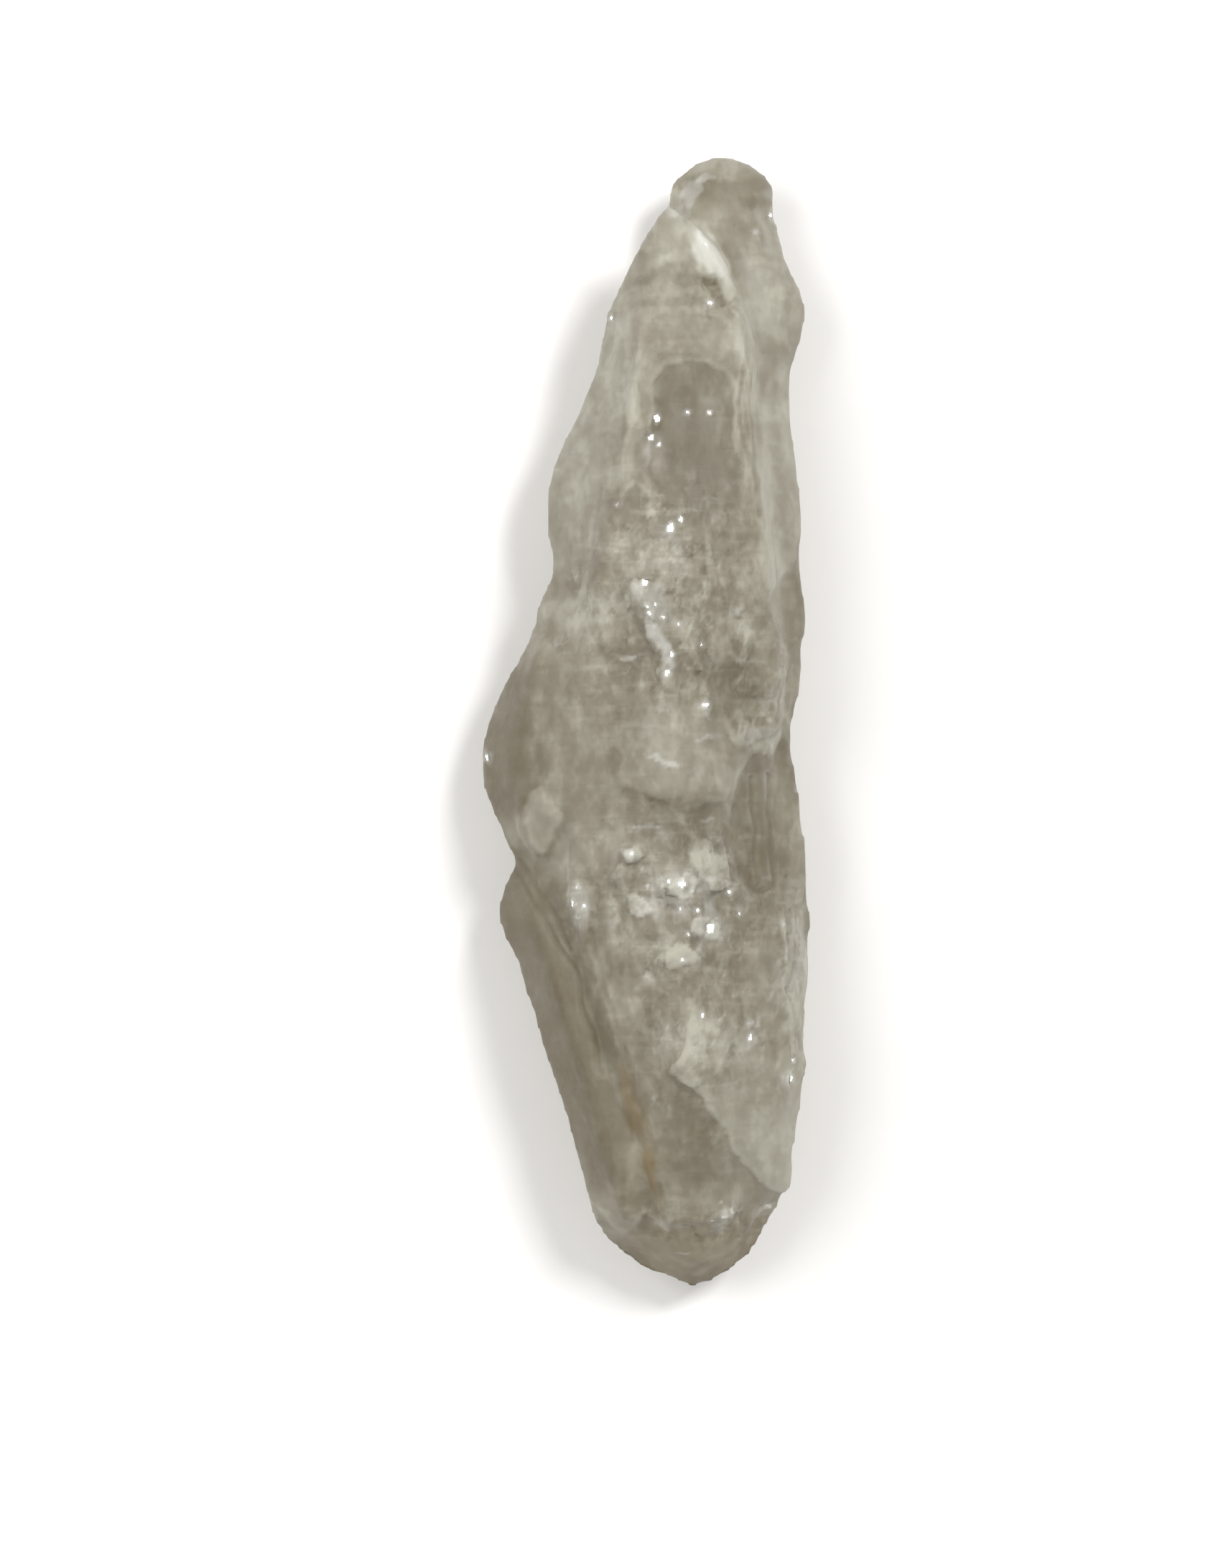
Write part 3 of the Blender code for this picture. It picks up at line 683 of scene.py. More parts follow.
    furrows: tuple = (
        # the wing's
        Furrow(((-8.4, -9.2), (-6.3, -12.5), (-5.1, -14.4), (-4.2, -16.9), (-2.8, -21.9)), 0.07, 0.20),
        Furrow(((-8.0, -8.6), (-6.0, -11.6), (-4.6, -14.2)), 0.06, 0.18),
        Furrow(((-3.6, -13.0), (-2.5, -17.0), (-1.2, -21.4), (0.2, -26.6), (1.0, -30.6)), 0.06, 0.22,
               shade=0.25, lip=0.10),
        Furrow(((-4.2, -21.0), (-2.6, -26.0), (-1.4, -30.6)), 0.03, 0.25, shade=0.20, lip=0.10),
        # beside the termination's frosted facet
        Furrow(((2.6, 31.4), (3.4, 29.4), (4.4, 27.6), (4.6, 26.0)), 0.06, 0.20),
        # right-hand lip of the arch, and the window's edge below it
        Furrow(((5.3, 25.8), (6.0, 25.2), (6.4, 24.4), (6.4, 23.2), (5.8, 21.5), (5.5, 20.0), (5.55, 18.6),
                (6.3, 16.8), (6.9, 15.0), (7.0, 12.4)), 0.03, 0.18, shade=0.10, lip=0.30),
        # the clear pane's
        Furrow(((7.6, -3.2), (7.7, -7.0), (8.0, -10.4)), 0.08, 0.20),
        Furrow(((6.6, -3.6), (6.7, -7.0), (7.0, -10.0)), 0.07, 0.18),
    )
    crumbled: tuple = patches(
        (1.4, 9.4, 4.4, 4.6, 0.8), (2.0, 3.6, 3.4, 3.4, 0.5), (2.4, -10.4, 4.8, 4.6, 1.0),
        (3.0, 13.0, 2.8, 2.4, 0.30), (3.0, -18.0, 3.8, 5.0, 0.5), (7.2, 2.4, 2.4, 4.2, 0.7),
        (9.4, -16.0, 1.6, 6.0, 0.7), (-4.4, -11.2, 1.2, 2.4, 0.9), (-3.2, 4.6, 2.6, 5.0, 0.3),
        (4.6, -31.6, 5.0, 1.2, 0.7), (3.9, 27.2, 0.9, 1.6, 0.8),
        (0.0, 2.0, 8.0, 30.0, 0.7, 0.0, 0.5, 0.35, Side.UNDER),
    )
    faintest: float = 0.10
    glassy: tuple = patches(
        (3.2, 17.6, 2.8, 6.4, 1.0, 0.0, 0.3, 0.1), (-0.6, 13.6, 1.8, 2.4, 0.7, 0.0, 0.4, 0.1),
        (2.7, 24.4, 3.6, 1.6, 0.5, 0.0, 0.4, 0.1), (3.2, -33.4, 5.0, 2.2, 0.5, 0.0, 0.4, 0.1),
        (1.2, 28.0, 2.2, 3.6, 1.0, 0.0, 0.3, 0.1), (5.6, 32.6, 3.0, 3.0, 1.0, 0.0, 0.3, 0.1),
        (8.0, 26.0, 1.8, 4.6, 1.0, 0.0, 0.3, 0.1), (8.6, 14.0, 1.2, 5.0, 1.0, 0.0, 0.3, 0.1),
        (7.4, -5.6, 1.5, 3.6, 1.0, 0.0, 0.3, 0.1), (-6.4, -19.0, 1.4, 8.6, 1.0, 17.0, 0.3, 0.1),
        (-3.6, -18.6, 2.2, 10.0, 0.7, 17.0, 0.4, 0.1), (-8.4, 0.0, 1.8, 5.0, 1.0, 0.0, 0.3, 0.1),
        (2.8, -26.4, 1.6, 3.2, 1.0, 22.0, 0.3, 0.1), (8.0, -25.0, 2.0, 4.0, 1.0, 10.0, 0.3, 0.1),
        (-1.4, -1.4, 1.3, 3.4, 0.8, 0.0, 0.4, 0.1), (1.6, 0.0, 1.2, 3.6, 0.5, 0.0, 0.5, 0.1),
    )
    chips: tuple = (
        Chips(size=1.30, stretch=1.3, tilt=0.11, drop=0.04, seed=3.0),
        Chips(size=0.60, stretch=1.2, tilt=0.11, drop=0.02, seed=11.0),
    )
    swell: float = 0.04
    swell_size: tuple = (2.6, 5.5, 2.6)
    rest_level: float = 0.02
    rest_normal: float = -0.9
    glints: tuple = facets(
        # in and beside the window
        (0.6, 18.8, 0.30, 0.5), (0.2, 17.6, 0.34, 0.4), (0.7, 17.2, 0.20, 0.5), (2.5, 19.2, 0.22, 0.5),
        (3.9, 19.2, 0.20, 0.5), (-1.9, 13.4, 0.20, 0.5), (1.4, 12.0, 0.30, 0.9), (2.05, 12.5, 0.20, 0.8),
        (1.0, 12.1, 0.12, 0.6), (3.9, 26.1, 0.24, 0.8), (-2.2, 25.4, 0.22, 0.8), (6.9, 31.0, 0.26, 0.8),
        (7.9, 32.3, 0.18, 0.6), (3.7, 29.9, 0.28, 1.0),
        # on the ridge of nubs
        (-0.2, 8.5, 0.30, 0.9), (0.5, 7.2, 0.22, 0.9), (0.0, 7.1, 0.26, 0.9), (0.1, 6.6, 0.20, 0.9),
        (0.9, 6.4, 0.20, 0.8), (1.9, 6.0, 0.18, 0.7), (1.5, 4.1, 0.26, 0.9), (1.2, 3.0, 0.22, 0.9),
        (3.6, 1.0, 0.26, 0.9), (5.6, 6.9, 0.18, 0.7), (3.3, 4.7, 0.14, 0.5),
        # on the outline
        (-10.1, -2.2, 0.26, 1.0), (9.7, -4.2, 0.26, 1.0), (9.2, -21.3, 0.18, 0.8), (9.0, -22.4, 0.28, 0.9),
        (8.5, -12.7, 0.16, 0.8),
        # the cluster in the middle of the lower half, and the nubs left of it
        (2.1, -10.1, 0.42, 0.9), (2.7, -10.5, 0.22, 0.9), (1.3, -9.9, 0.18, 0.7), (2.0, -11.6, 0.28, 0.9),
        (3.1, -11.7, 0.24, 0.9), (3.9, -12.9, 0.36, 0.9), (4.3, -12.3, 0.20, 0.8), (2.5, -13.2, 0.18, 0.8),
        (5.1, -10.6, 0.22, 0.9), (5.7, -12.0, 0.18, 0.6), (0.6, -12.3, 0.18, 0.6), (-0.3, -9.2, 0.16, 0.9),
        (0.0, -10.2, 0.16, 0.7), (-1.0, -8.2, 0.32, 0.9), (4.4, -7.4, 0.20, 0.6),
        # the bright nub beside the wing
        (-4.3, -12.2, 0.26, 1.0), (-4.6, -11.3, 0.22, 1.0), (-3.9, -11.5, 0.20, 1.0),
        (-4.3, -10.3, 0.24, 0.9),
        # lower down
        (6.4, -18.8, 0.30, 0.9), (6.4, -19.7, 0.22, 0.9), (2.2, -14.8, 0.22, 0.5), (0.1, -15.9, 0.16, 0.5),
        (3.4, -18.2, 0.20, 0.5), (0.4, -23.4, 0.14, 0.5), (4.8, -30.9, 0.32, 0.9), (5.3, -30.6, 0.20, 0.8),
        (4.1, -31.2, 0.20, 0.7), (7.7, -30.6, 0.26, 0.8), (4.6, -30.0, 0.14, 0.6),
    )

    def crumble(self, surface: Surface) -> Values:
        """How strongly each point is chipped, from faintly to fully."""
        return np.clip(self.faintest + sum(patch.value(surface) for patch in self.crumbled), 0.0, 1.0)

    def carve(self, surface: Surface) -> tuple:
        """Moves the points of the surface.

        Args:
            surface: The skin, which is changed.

        Returns:
            How strongly each point is chipped, and the tone of the chip that it belongs to.
        """
        crumble = self.crumble(surface)
        height = sum(terrace.height(surface) for terrace in self.terraces)
        height = height + sum(furrow.height(surface) for furrow in self.furrows)
        height = height + self.swell * fractal_at(surface.points, self.swell_size, octaves=2, seed=9.0)
        tones = np.zeros(len(height))
        for cover in self.chips:
            heights, tone = cover.cover(surface, crumble)
            height = height + heights
            tones += tone / len(self.chips)
        low = surface.points[:, 2] < self.rest_level
        height[low & (surface.normals[:, 2] < self.rest_normal)] = 0.0
        surface.points = surface.points + surface.normals * height[:, None]
        for glint in self.glints:
            glint.flatten(surface)
        surface.points[:, 2] = np.maximum(surface.points[:, 2], 0.0)
        return crumble, tones


@dataclass
class Complexion:
    """Where the stone is frosted, clear, stained and bruised white, and where light and shade are painted on
    it.

    Attributes:
        frosted, cleared, stained, bruised: The patches of each.
        chip_frost: How far the tones of chips vary.
        chip_middle: The tone of a chip that is neither paler nor darker than the stone round it.
        side_gloss: How glossy the brightest chips of the sides and the underside are.
        lip_frost, painted_hollow_shade: How pale the sharpest lips are, and how strong the painted shade in
            the deepest hollows is.
        painted_rim_light, edge_cleared: How strong the painted rim light on the steep sides is, and how much
            of it clear places lose.
        steep, steep_passes: Tilts at which a side begins to take the painted rim light and takes it fully,
            and how
        often the tilt is blurred first.
        glossy_tones: Tones of chips that begin to be glossy, and that are fully so.
        level_normal: The upward part of the normal from which chips aren't glossy.
        frost_rate: How fast added frost makes the stone pale.
        bend, bend_passes: How far the sharpest lip or hollow stands out from the skin after so many
            smoothing passes.
    """

    frosted: tuple = patches(
        # termination: its pale face and the bruise beside it
        (1.2, 30.6, 1.2, 2.4, 0.30), (3.6, 29.6, 0.9, 3.0, 0.3, 26.0), (4.6, 35.6, 3.0, 1.0, 0.35),
        (1.4, 28.0, 4.2, 6.0, 0.20),
        # left flank, and the line between it and the window
        (-3.4, 18.0, 2.0, 7.5, 0.30, -12.0), (-1.3, 20.4, 0.30, 4.4, 0.35, -2.0),
        # lobe's flank and slab
        (7.6, 25.2, 2.2, 5.6, 0.42),
        # band below the window, ridge of nubs, and the terrace in the middle
        (-4.3, 6.9, 2.4, 0.9, 0.40), (-1.4, 3.95, 1.2, 0.14, 0.5), (1.6, 0.6, 2.2, 3.4, 0.22),
        (2.4, -3.2, 3.4, 1.6, 0.10, 0.0, 0.5, 0.6), (0.6, 10.8, 2.8, 1.6, 0.30), (5.6, 8.2, 2.6, 2.4, 0.30),
        # facet on the shoulder
        (-8.0, -7.0, 0.9, 1.4, 0.30, 30.0),
        # around the cluster of nubs
        (3.8, -8.7, 0.9, 1.6, 0.50, 0.0, 0.3), (2.1, -14.5, 1.3, 0.8, 0.5), (2.7, -18.9, 1.8, 1.4, 0.40),
        (9.4, -15.2, 0.9, 2.8, 0.50, 0.0, 0.3, 0.7), (9.0, -21.4, 0.7, 1.2, 0.40, 0.0, 0.5, 0.8),
        (3.2, -3.6, 2.8, 1.0, 0.20, 0.0, 0.5, 0.8), (-3.6, 5.2, 1.6, 1.2, 0.35, 0.0, 0.5, 0.8),
        (2.6, -33.4, 3.6, 1.4, 0.30, 0.0, 0.5, 0.9), (-1.6, -31.4, 1.6, 1.0, 0.20, 0.0, 0.5, 0.9),
        (5.4, 4.9, 1.2, 1.6, 0.40, 35.0, 0.5, 0.9), (6.8, -26.4, 2.4, 2.4, 0.20, 20.0),
        (-1.6, -15.0, 0.7, 4.4, 0.30, 16.0),
    )
    cleared: tuple = patches(
        (2.1, 19.4, 1.7, 3.2, 0.40, -4.0, 0.5, 0.4), (2.8, 14.4, 2.2, 2.6, 0.35, 0.0, 0.5, 0.8),
        (5.4, 33.0, 2.4, 2.4, 0.20), (4.3, 33.4, 0.9, 0.7, 0.35, 0.0, 0.5, 0.9),
        (6.8, 33.1, 0.8, 0.4, 0.45, 0.0, 0.5, 0.9), (6.0, 31.2, 0.8, 0.5, 0.35, 0.0, 0.5, 0.9),
        (0.9, 29.3, 1.6, 0.25, 0.50, 10.0, 0.5, 0.9), (0.7, 28.0, 1.9, 0.40, 0.75, 14.0, 0.5, 0.6),
        (2.3, 27.6, 1.7, 0.40, 0.65, -8.0, 0.5, 0.6), (1.3, 26.2, 2.6, 0.35, 0.55, 8.0, 0.5, 0.6),
        (4.0, 27.5, 0.42, 0.42, 1.0), (5.8, 2.4, 1.7, 2.2, 0.50), (-1.7, -1.2, 1.2, 3.0, 0.35, -25.0),
        (-8.6, -0.8, 2.0, 5.4, 1.0), (-5.8, -18.6, 2.8, 11.0, 1.0, 17.0, 0.5, 0.15),
        (7.4, -9.4, 1.4, 2.4, 0.30), (-3.0, -12.4, 0.8, 3.6, 0.40, 14.0), (0.2, -20.2, 1.1, 2.8, 0.50, 6.0),
        (2.7, -26.2, 1.7, 3.4, 0.45, 24.0), (3.4, -33.6, 5.0, 2.2, 0.15),
    )
    stained: tuple = patches(
        (-1.2, -23.8, 0.50, 2.4, 0.42, 13.0), (0.2, -28.4, 0.26, 2.2, 0.50, 12.0),
        (-0.4, -26.0, 0.7, 4.4, 0.18, 13.0), (6.8, -9.1, 0.4, 1.0, 0.25, -40.0),
        (3.4, -33.8, 4.8, 2.2, 0.30), (-5.8, -18.6, 2.8, 11.0, 0.08, 17.0), (-8.6, -0.8, 2.0, 5.4, 0.06),
    )
    bruised: tuple = patches(
        (4.0, 29.0, 0.75, 1.9, 0.62, 22.0, 0.25, 0.45), (3.5, 30.2, 0.16, 0.7, 0.60, 24.0, 0.3, 0.2),
        (1.7, 32.0, 0.4, 0.5, 0.4), (2.7, 33.6, 0.50, 1.0, 0.50, -24.0, 0.3, 0.6),
        (3.5, 34.4, 0.30, 0.5, 0.40, -60.0, 0.3), (7.6, 33.6, 0.30, 0.4, 0.30),
        (7.9, 32.0, 0.30, 0.3, 0.40), (0.5, 17.2, 0.50, 1.1, 0.35, 0.0, 0.5, 0.8),
        (0.8, 4.6, 0.42, 1.8, 0.75, 26.0, 0.25, 0.3), (0.2, 7.2, 0.8, 1.3, 0.45, 22.0, 0.5, 0.6),
        (-4.3, -11.5, 0.55, 1.3, 0.40, 0.0, 0.5, 0.6), (2.2, -10.6, 1.7, 1.3, 0.34, 0.0, 0.5, 1.2),
        (3.9, -12.6, 1.0, 0.8, 0.34, 0.0, 0.5, 1.2), (4.8, -31.2, 1.0, 0.40, 0.50, 70.0, 0.5, 0.8),
        (9.9, -14.6, 0.5, 2.2, 0.32, 0.0, 0.5, 0.6), (-0.4, -11.5, 0.45, 0.6, 0.30, 0.0, 0.3),
        (3.9, -9.9, 0.9, 0.16, 0.35, 0.0, 0.5, 0.6), (1.0, -2.4, 0.9, 0.16, 0.50, -6.0, 0.3, 1.4),
        (3.3, -0.9, 0.6, 0.10, 0.45, 0.0, 0.3, 0.7), (-0.1, -6.5, 0.7, 0.10, 0.45, 0.0, 0.3, 0.7),
        (3.8, -6.2, 0.6, 0.10, 0.45, 0.0, 0.3, 0.7), (-0.8, 3.95, 0.8, 0.12, 0.36, 5.0, 0.3, 1.2),
        (7.3, -0.9, 1.0, 0.5, 0.30, 0.0, 0.3, 0.9), (-2.0, 25.2, 0.25, 0.6, 0.40, -14.0),
        (2.2, -33.4, 0.50, 0.12, 0.45, -4.0, 0.3, 0.6), (-1.5, -34.0, 0.50, 0.12, 0.35, -35.0, 0.3, 0.6),
    )
    chip_frost: float = 0.55
    chip_middle: float = 0.52
    side_gloss: float = 0.80
    lip_frost: float = 0.16
    # Painted shade in the hollows, and a painted rim light on the steep sides.
    painted_hollow_shade: float = 0.10
    painted_rim_light: float = 0.48
    edge_cleared: float = 0.8
    steep: tuple = (0.40, 0.95)
    steep_passes: int = 19
    glossy_tones: tuple = (0.82, 0.86)
    level_normal: float = 0.5
    frost_rate: float = 1.2
    bend: float = 0.023
    bend_passes: int = 3

    def masks(self, surface: Surface, relief: Relief, crumble: Values, tones: Values) -> dict:
        """The masks' values at each point.

        Args:
            surface: The carved skin.
            relief: What was carved, whose lips are pale and whose glints get a painted highlight.
            crumble: How strongly each point is chipped.
            tones: The tone of each point's chip.

        Returns:
            Values for each mask.
        """
        level = surface.relaxed(np.ones(len(surface.points)), self.bend_passes)
        out = np.sum((surface.points - level) * surface.normals, axis=1)
        lips = np.clip(out / self.bend, 0.0, 1.0)
        hollows = np.clip(-out / self.bend, 0.0, 1.0)
        frost = sum(patch.value(surface) for patch in self.frosted)
        frost = frost + sum(terrace.paleness(surface) for terrace in relief.terraces)
        shades = [terrace.shade(surface) for terrace in relief.terraces]
        shades += [furrow.tone(surface) for furrow in relief.furrows]
        frost = frost + sum(np.maximum(shade, 0.0) for shade in shades)
        frost += self.chip_frost * crumble * (tones - self.chip_middle) + self.lip_frost * lips
        # The clear mask also darkens the hollows: painted shade.
        clear = sum(patch.value(surface) for patch in self.cleared) + self.painted_hollow_shade * hollows
        clear = clear + sum(np.maximum(-shade, 0.0) for shade in shades)
        # The frost mask also pales the steep sides and makes them less see-through: a painted rim light.
        tilt = surface.spread(1.0 - np.abs(surface.normals[:, 2]), self.steep_passes)
        kept = 1.0 - self.edge_cleared * np.clip(clear, 0.0, 1.0)
        frost += self.painted_rim_light * smooth_share(tilt, *self.steep) * kept
        stain = sum(patch.value(surface) for patch in self.stained)
        gloss = np.max([glint.gloss(surface) for glint in relief.glints], axis=0)
        turned_away = 1.0 - np.clip(surface.normals[:, 2] / self.level_normal, 0.0, 1.0)
        gloss = np.maximum(gloss, self.side_gloss * turned_away * smooth_share(tones, *self.glossy_tones))
        # The glint facets are painted white: a painted highlight over their real gloss.
        white = np.max([glint.white * glint.gloss(surface) for glint in relief.glints], axis=0)
        # Round each glint a pale halo: partly a bruise and partly a painted glow of the glint.
        white = np.maximum(white, np.max([glint.halo(surface) for glint in relief.glints], axis=0))
        white = np.maximum(white, sum(patch.value(surface) for patch in self.bruised))
        return {
            Mask.FROST_AND_PAINTED_LIGHT: 1.0 - np.exp(-self.frost_rate * np.maximum(frost, 0.0)),
            Mask.CLEAR_AND_PAINTED_SHADE: clear,
            Mask.STAIN: stain,
            Mask.BRUISE_AND_PAINTED_GLINT: white,
            Mask.GLOSS: gloss,
            Mask.CRUMB: crumble,
        }


@dataclass(frozen=True)
class Bench:
    """A material's nodes, with a method for each kind that the finish adds to them.

    Attributes:
        tree: The material's node tree.
    """

    tree: bpy.types.NodeTree

    def feed(self, socket: Socket, value: Feed) -> None:
        """Gives a socket its value.

        Args:
            socket: The socket.
            value: Another socket to link it to, or a plain number or colour.
        """
        if isinstance(value, bpy.types.NodeSocket):
            self.tree.links.new(value, socket)
        else:
            socket.default_value = value

    def add(self, kind: str, feeds: dict, **settings: Setting) -> bpy.types.Node:
        """Adds a node.

        Args:
            kind: Blender's name for it, without "ShaderNode".
            feeds: What its sockets get, by their names or numbers.
            settings: Its other properties.

        Returns:
            The node.
        """
        node = self.tree.nodes.new("ShaderNode" + kind)
        for name, setting in settings.items():
            setattr(node, name, setting)
        for socket, value in feeds.items():
            self.feed(node.inputs[socket], value)
        return node

    def mask(self, mask: Mask) -> Socket:
        """One of the skin's masks."""
        return self.add("Attribute", {}, attribute_name=mask.value).outputs["Fac"]

    def combine(self, operation: str, first: Feed, second: Feed, clamp: bool = False) -> Socket:
        """Two sockets or numbers, put together by Blender's operation of that name."""
        node = self.add("Math", {0: first, 1: second}, operation=operation, use_clamp=clamp)
        return node.outputs["Value"]

    def blend(self, share: Socket, first: Feed, second: Feed) -> Socket:
        """The first colour where the share is 0, the second where it is 1, and a mix between."""
        return self.add("Mix", {"Factor": share, 6: first, 7: second}, data_type="RGBA").outputs[2]

    def between(self, share: Socket, at_zero: float, at_one: float) -> Socket:
        """A value that goes from at_zero to at_one with the share."""
        node = self.add("MapRange", {"Value": share, "To Min": at_zero, "To Max": at_one})
        return node.outputs["Result"]

    def noise(self, scale: float, detail: float, roughness: float, stretch: tuple) -> Socket:
        """Adds cloudy noise that is fixed to the crystal.

        Args:
            scale: How many of its waves fit in a metre.
            detail, roughness: How many finer waves lie on them, and how strong they are.
            stretch: Scale along each axis.

        Returns:
            The noise, around 0.5.
        """
        crystal = self.add("TexCoord", {}).outputs["Object"]
        place = self.add("Mapping", {"Vector": crystal, "Scale": stretch}).outputs["Vector"]
        feeds = {"Vector": place, "Scale": scale, "Detail": detail, "Roughness": roughness}
        return self.add("TexNoise", feeds).outputs["Fac"]


@dataclass(frozen=True)
class Cloud:
    """One layer of milky clouds inside the stone.

    Attributes:
        scale: How many clouds fit in a metre.
        clear_at, full_at: Noise values at which the cloud begins and is full.
        amount: How much frost a full cloud adds.
        stretch: Scale along each axis. The crystal's own clouds are drawn out along it.
        crumbled_only: Whether the layer shows only where the skin is chipped.
        detail, roughness: How many finer clouds lie on these, and how strong they are.
    """

    scale: float
    clear_at: float
    full_at: float
    amount: float
    stretch: tuple = (1.0, 0.60, 0.32)
    crumbled_only: bool = False
    detail: float = 5.0
    roughness: float = 0.60

    def socket(self, bench: Bench) -> Socket:
        """Adds the layer's nodes.

        Args:
            bench: The material's nodes.

        Returns:
            The layer's share of frost.
        """
        drift = bench.noise(self.scale, self.detail, self.roughness, self.stretch)
        feeds = {"Value": drift, "From Min": self.clear_at, "From Max": self.full_at, "To Max": self.amount}
        return bench.add("MapRange", feeds).outputs["Result"]


@dataclass(frozen=True)
class Waves:
    """One layer of relief that is too fine for the mesh.

    Attributes:
        scale: How many waves fit in a metre.
        stretch: Scale along each axis.
        height: How high it is, where 1 is the finish's own height.
        detail, roughness: How many finer waves lie on these, and how strong they are.
    """

    scale: float
    stretch: tuple
    height: float
    detail: float = 4.0
    roughness: float = 0.5

    def socket(self, bench: Bench) -> Socket:
        """The layer's height."""
        drift = bench.noise(self.scale, self.detail, self.roughness, self.stretch)
        return bench.combine("MULTIPLY", drift, self.height)


@dataclass(frozen=True)
class QuartzFinish:
    """Cloudy pale green quartz: satin all over, with glassy facets, milky clouds and a stained furrow, and
    with light and shade painted on it.

    Attributes:
        body, pale, dark: Colours of the stone, of its frosted places and painted rim light, and of its clear
            places and painted shade.
        white, stain: Colours of the bruises and of the painted highlights on the bright facets, and of the
            iron.
        refraction, specular: Quartz's index of refraction, and the strength of its surface gleam.
        transmission: How much light goes through where the stone is clear, and where it is milky.
        satin, glassy: Roughness of the skin, and of the bright facets.
        cloud_in_clear: How much of a cloud is left in a clear place.
        veil_cleared: How much of the milk a clear place takes out of the way of the light.
        depth_tint, depth_density: The green that light takes up inside, and how fast it does, per metre.
        clouds: The layers of clouds.
        grain, lines: The grain of the etching, and fine lines across the prism faces.
        bump_height: How high the finest relief is, in metres.
        bump_strength: How strongly it shows on the satin skin. It doesn't show on the bright facets.
    """

    body: tuple = (0.335, 0.291, 0.212, 1.0)
    pale: tuple = (0.510, 0.494, 0.409, 1.0)
    dark: tuple = (0.232, 0.187, 0.113, 1.0)
    white: tuple = (0.800, 0.790, 0.740, 1.0)
    stain: tuple = (0.330, 0.225, 0.090, 1.0)
    refraction: float = 1.544
    specular: float = 0.30
    transmission: tuple = (0.66, 0.36)
    satin: float = 0.57
    glassy: float = 0.06
    cloud_in_clear: float = 0.65
    veil_cleared: float = 0.4
    depth_tint: tuple = (0.88, 0.89, 0.81, 1.0)
    depth_density: float = 80.0
    clouds: tuple = (
        Cloud(scale=300.0, clear_at=0.36, full_at=0.64, amount=0.30),
        Cloud(scale=800.0, clear_at=0.44, full_at=0.64, amount=0.30),
        Cloud(scale=1700.0, clear_at=0.48, full_at=0.66, amount=0.14),
        Cloud(scale=1700.0, clear_at=0.48, full_at=0.66, amount=0.18, crumbled_only=True),
        Cloud(scale=900.0, clear_at=0.50, full_at=0.68, amount=0.12, stretch=(0.35, 2.2, 0.4)),
        Cloud(scale=900.0, clear_at=0.50, full_at=0.66, amount=0.17, stretch=(0.35, 2.2, 0.4),
              crumbled_only=True),
    )
    grain: Waves = Waves(2600.0, (1.0, 0.6, 1.0), 1.0)
    lines: Waves = Waves(1100.0, (0.25, 2.6, 0.6), 0.45)
    bump_height: float = 0.00005
    bump_strength: float = 0.35

    def material(self) -> bpy.types.Material:
        """Builds the finish.

        Returns:
            The node material.
        """
        made = bpy.data.materials.new("prasiolite")
        made.use_nodes = True
        bench = Bench(made.node_tree)
        inputs = bench.tree.nodes["Principled BSDF"].inputs
        inputs["IOR"].default_value = self.refraction
        inputs["Specular IOR Level"].default_value = self.specular
        clear = bench.mask(Mask.CLEAR_AND_PAINTED_SHADE)
        gloss = bench.mask(Mask.GLOSS)
        milk = self._milk(bench, clear)
        # Dark where clear, which also paints shade into hollows and furrows; pale where frosted, which also
        # paints a rim light on the steep sides; white on bruises and as a painted highlight on the bright
        # facets.
        shade = bench.blend(clear, self.body, self.dark)
        colour = bench.blend(milk, shade, self.pale)
        colour = bench.blend(bench.mask(Mask.BRUISE_AND_PAINTED_GLINT), colour, self.white)
        colour = bench.blend(bench.mask(Mask.STAIN), colour, self.stain)
        bench.feed(inputs["Base Color"], colour)
        opened = bench.combine("MULTIPLY", clear, self.veil_cleared)
        veil = bench.combine("SUBTRACT", milk, opened, clamp=True)
        bench.feed(inputs["Transmission Weight"], bench.between(veil, *self.transmission))
        bench.feed(inputs["Roughness"], bench.between(gloss, self.satin, self.glassy))
        bench.feed(inputs["Normal"], self._bump(bench, gloss))
        self._depth(bench)
        return made

    def _milk(self, bench: Bench, clear: Socket) -> Socket:
        """Adds the clouds to the frost.

        Args:
            bench: The material's nodes.
            clear: The mask of the clear places.

        Returns:
            How milky the stone is, from 0 to 1.
        """
        milk = bench.mask(Mask.FROST_AND_PAINTED_LIGHT)
        crumb = bench.mask(Mask.CRUMB)
        cloudy = bench.between(clear, 1.0, self.cloud_in_clear)
        for cloud in self.clouds:
            share = bench.combine("MULTIPLY", cloud.socket(bench), cloudy)
            if cloud.crumbled_only:
                share = bench.combine("MULTIPLY", share, crumb)
            milk = bench.combine("ADD", milk, share)
        return bench.combine("ADD", milk, 0.0, clamp=True)

    def _bump(self, bench: Bench, gloss: Socket) -> Socket:
        """Adds the finest relief.

        Args:
            bench: The material's nodes.
            gloss: The mask of the bright facets.

        Returns:
            The normal of the skin with it.
        """
        height = bench.combine("ADD", self.grain.socket(bench), self.lines.socket(bench))
        strength = bench.between(gloss, self.bump_strength, 0.0)
        feeds = {"Distance": self.bump_height, "Strength": strength, "Height": height}
        return bench.add("Bump", feeds).outputs["Normal"]

    def _depth(self, bench: Bench) -> None:
        """Adds the tint that grows with the depth of stone.

        Args:
            bench: The material's nodes.
        """
        tint = bench.add("VolumeAbsorption", {"Color": self.depth_tint, "Density": self.depth_density})
        bench.feed(bench.tree.nodes["Material Output"].inputs["Volume"], tint.outputs["Volume"])


